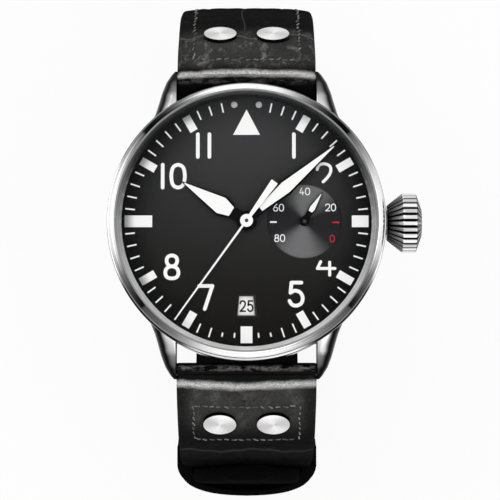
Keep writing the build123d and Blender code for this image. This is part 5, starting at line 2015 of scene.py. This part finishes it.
@dataclass
class Strap:
    """Both strap pieces with their rivets, bars and keepers."""

    rivet_distance: float = 7.9
    rivet_x: float = RIVET_X
    rivet_radius: float = 2.65
    hole_pitch: float = 6.5
    keeper_corner: float = 1.1

    def rivets(self, side: int) -> Shape:
        """Two flat rivet heads with broken edges.

        Args:
            side: 1 for the strap at twelve o'clock, -1 for the one at six.

        Returns:
            The heads.
        """
        base, top, radius = 2.8, 3.7, self.rivet_radius
        profile = (
            (0.9, -0.9), (0.9, base), (radius - 0.12, base), (radius, base + 0.1),
            (radius, top - 0.14), (radius - 0.05, top - 0.05), (radius - 0.16, top),
            (radius * 0.5, top + 0.012), (0.05, top + 0.015),
        )
        spot, shape = LONG_ROUTE.at(self.rivet_distance), Shape()
        for x in (-self.rivet_x, self.rivet_x):
            shape.add(spot.stud(x, side, profile, 72))
        return shape

    def fixed_keeper(self) -> Shape:
        """The sewn band under both layers.

        Returns:
            The band.
        """
        rings = []
        low, high, half, wall, bend = -50.02, -42.8, 9.93, 0.78, self.keeper_corner
        corners = []
        for cx, cz, start in ((half - bend, high - bend, 0), (half - bend, low + bend, 90),
                              (-half + bend, low + bend, 180), (-half + bend, high - bend, 270)):
            corners += [(cx, cz, start + 15 * part) for part in range(7)]
        for cx, cz, turn in corners:
            ux, uz = on_dial(1, turn)
            ring = []
            for y, inset in ((-10.95, 0.3), (-10.7, 0.06), (-9.8, 0.0), (-7.2, 0.0),
                             (-6.3, 0.06), (-6.05, 0.3), (-6.05, wall), (-10.95, wall)):
                ring.append((cx + ux * (bend - inset), y, cz + uz * (bend - inset)))
            rings.append(ring)
        return loft(rings, closed=True)

    def free_keeper(self) -> Shape:
        """The loose band, bowed over the strap's outer face.

        Returns:
            The band.
        """
        half, low, edge = 11.15, 18.85, 21.2
        bow = [(1, 0), (0.985, 0.16), (0.94, 0.36), (0.81, 0.66), (0.58, 0.87), (0.3, 0.97), (0, 1)]
        hug = [(1, -0.1), (0.84, 0.02), (0.82, 0.3), (0.74, 0.6), (0.56, 0.84), (0.3, 0.97), (0, 1)]
        inner = [(half * x, edge + 4.2 * y) for x, y in hug]
        outer = [((half + 0.6) * x, edge + 5.1 * y) for x, y in bow]
        inner = [(half, low), *rounded(inner, steps=4)]
        outer = [(half + 0.6, low - 0.8), *rounded(outer, steps=4)]
        inner += [(-x, r) for x, r in reversed(inner[:-1])]
        outer += [(-x, r) for x, r in reversed(outer[:-1])]
        rings = []
        for (ix, ir), (ox, o_r) in zip(inner, outer):
            ring = []
            for degrees, share in ((0.0, 0.7), (0.5, 0.93), (1.6, 1.0), (12.0, 1.0), (22.4, 1.0),
                                   (23.5, 0.93), (24.0, 0.7), (24.0, 0.0), (0.0, 0.0)):
                x, radius = ix + (ox - ix) * share, ir + (o_r - ir) * share
                turn = math.radians(degrees)
                ring.append((x, -CORNER_Y - radius * math.cos(turn),
                             CORNER_HEIGHT - radius * math.sin(turn)))
            rings.append(ring)
        return loft(rings, closed=True)

    def holes(self) -> Shape:
        """Dark rims round the adjusting holes in the tail, with a disc of painted shade in each
        hole.

        Returns:
            The rims.
        """
        shape = Shape()
        start = LONG_ROUTE.pieces[HOLED_STRETCH][0]
        profile = ((0.03, 1.4), (0.85, 1.42), (0.9, 1.6), (0.98, 1.63), (1.12, 1.62),
                   (1.2, 1.56), (1.2, 1.3), (0.03, 1.3))
        for number in range(1, 4):
            spot = LONG_ROUTE.at(start + (number - 0.5) * self.hole_pitch)
            shape.add(spot.stud(0, 1, profile, 28))
        return shape

    def build(self) -> None:
        """Builds the strap."""
        StrapPiece("strap_long", LONG_ROUTE, 1, (31.76, 47.46),
                   ((7.6, 0.45, 0.2), (20.8, 0.5, 0.22), (28.6, 0.5, 0.22), (37.0, 0.4, 0.2),
                    (46.0, 0.4, 0.2), (55.5, 0.4, 0.18), (64.5, 0.4, 0.18), (74.0, 0.4, 0.18),
                    (84.0, 0.4, 0.18), (94.0, 0.4, 0.18), (104.0, 0.4, 0.18), (114.0, 0.4, 0.18)),
                   (2.1, None), tip=7.0, seed=5, curved_end=True).build()
        StrapPiece("strap_short", SHORT_ROUTE, -1, (10.55, 25.1),
                   ((3.1, 0.2, 0.06), (14.6, 0.5, 0.26), (24.4, 0.5, 0.22), (33.5, 0.4, 0.2),
                    (43.0, 0.4, 0.2), (52.5, 0.4, 0.18), (62.0, 0.4, 0.18)),
                   (4.1, 13.0), seed=9).build()
        for name, side in (("upper", 1), ("lower", -1)):
            make(f"rivet_heads_{name}", self.rivets(side), RIVET_STEEL,
                 replaces=[f"{name}_rivets"])
        make("fixed_keeper_band", self.fixed_keeper(), KEEPER_LEATHER,
             replaces=["fixed_keeper"], crease=60)
        make("free_keeper_band", self.free_keeper(), KEEPER_LEATHER, Body.KEEPER,
             ["free_keeper"], crease=60)
        # Dark rims, with discs of painted shade where the holes are.
        make("adjusting_hole_rims_and_shade", self.holes(), BLACK_PRINT)
        dress(PIN_STEEL, "upper_spring_bar", "lower_spring_bar")


@dataclass
class Buckle:
    """Buckle frame, pin and tongue."""

    def build(self) -> None:
        """Dresses the buckle."""
        dress(BUCKLE_POLISH, "buckle_frame", "buckle_tongue")
        dress(STEM_STEEL, "buckle_pin")


@dataclass
class Studio:
    """Floor, world, lamps and the camera."""

    floor_height: float = -50.0385
    mirrored: tuple[str, str] = ("Is Glossy Ray", "Is Transmission Ray")
    elevation: float = 84.5
    distance: float = 350.0
    lens: float = 163.2
    aim: Triple = (0.54, -4.75, 11.0)
    world_level: float = 0.78
    lamps: tuple[tuple[str, Triple, float, float], ...] = (
        ("key_lamp", (-0.55, 0.5, 1.1), 1.0, 3.6),
        ("fill_lamp", (0.65, -0.55, 0.95), 1.0, 2.0),
        ("low_lamp", (0.0, -1.1, 0.25), 0.6, 0.5),
    )

    def floor(self) -> None:
        """A pale floor that shows white, with the object's soft shadow on it."""
        mesh = bpy.data.meshes.new("floor")
        work = bmesh.new()
        size, z = 6.0, self.floor_height * MM - 0.0002
        work.faces.new([work.verts.new((x * size, y * size, z))
                        for x, y in ((-1, -1), (1, -1), (1, 1), (-1, 1))])
        work.to_mesh(mesh)
        work.free()
        floor = bpy.data.objects.new("floor", mesh)
        bpy.context.scene.collection.objects.link(floor)
        paint = Paint("floor_pale", {"Base Color": (0.9, 0.9, 0.9), "Roughness": 0.9,
                                     "Emission Color": (1.0, 1.0, 1.0), "Emission Strength": 0.0})
        path = paint.node("LightPath")
        glow = paint.node("Emission", inputs={0: (1.0, 1.0, 1.0), 1: 1.0})
        glossy, through = (paint.other(path, name) for name in self.mirrored)
        seen = (path + glossy + through).step(0.0, 0.5) * 0.9
        mixed = paint.node("MixShader", inputs={0: seen, 1: Signal(paint, paint.shader.outputs[0]),
                                                2: glow})
        paint.feed(paint.output.inputs[0], mixed)
        mesh.materials.append(paint.material)

    def world(self) -> None:
        """White to the camera, to metal and through glass, and a plain level of light."""
        world = bpy.data.worlds.new("studio")
        world.use_nodes = True
        bpy.context.scene.world = world
        sky = Nodes(world.node_tree)
        path = seen = sky.node("LightPath")
        for name in self.mirrored:
            seen = seen.maths("MAXIMUM", sky.other(path, name))
        level = sky.node("MapRange", inputs={0: seen, 3: self.world_level, 4: 1.0})
        background = world.node_tree.nodes["Background"]
        sky.feed(background.inputs[0], (1, 1, 1))
        sky.feed(background.inputs[1], level)

    def build(self) -> None:
        """Sets the stage."""
        self.floor()
        self.world()
        for name, place, size, power in self.lamps:
            light = bpy.data.lights.new(name, "AREA")
            light.size, light.energy = size, power
            lamp = bpy.data.objects.new(name, light)
            lamp.location = place
            lamp.rotation_euler = (-Vector(place)).to_track_quat("-Z", "Y").to_euler()
            bpy.context.scene.collection.objects.link(lamp)
        camera = bpy.data.cameras.new("camera")
        camera.lens, camera.sensor_width = self.lens, 36.0
        camera.clip_start, camera.clip_end = 0.01, 20.0
        eye = bpy.data.objects.new("camera", camera)
        tilt = math.radians(self.elevation)
        aim = Vector(self.aim) * MM
        eye.location = aim + Vector((0, -math.cos(tilt), math.sin(tilt))) * self.distance * MM
        eye.rotation_euler = (math.radians(90 - self.elevation), 0, 0)
        bpy.context.scene.collection.objects.link(eye)
        bpy.context.scene.camera = eye
        bpy.context.scene.view_settings.view_transform = "Standard"


def main() -> None:
    """Builds the watch's looks and its studio."""
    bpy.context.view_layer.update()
    for assembly in (Case(), Crown(), Dial(), Hands(), Movement(), Strap(), Buckle(), Studio()):
        log.info("building %s", type(assembly).__name__)
        assembly.build()


if __name__ == "__main__":
    main()
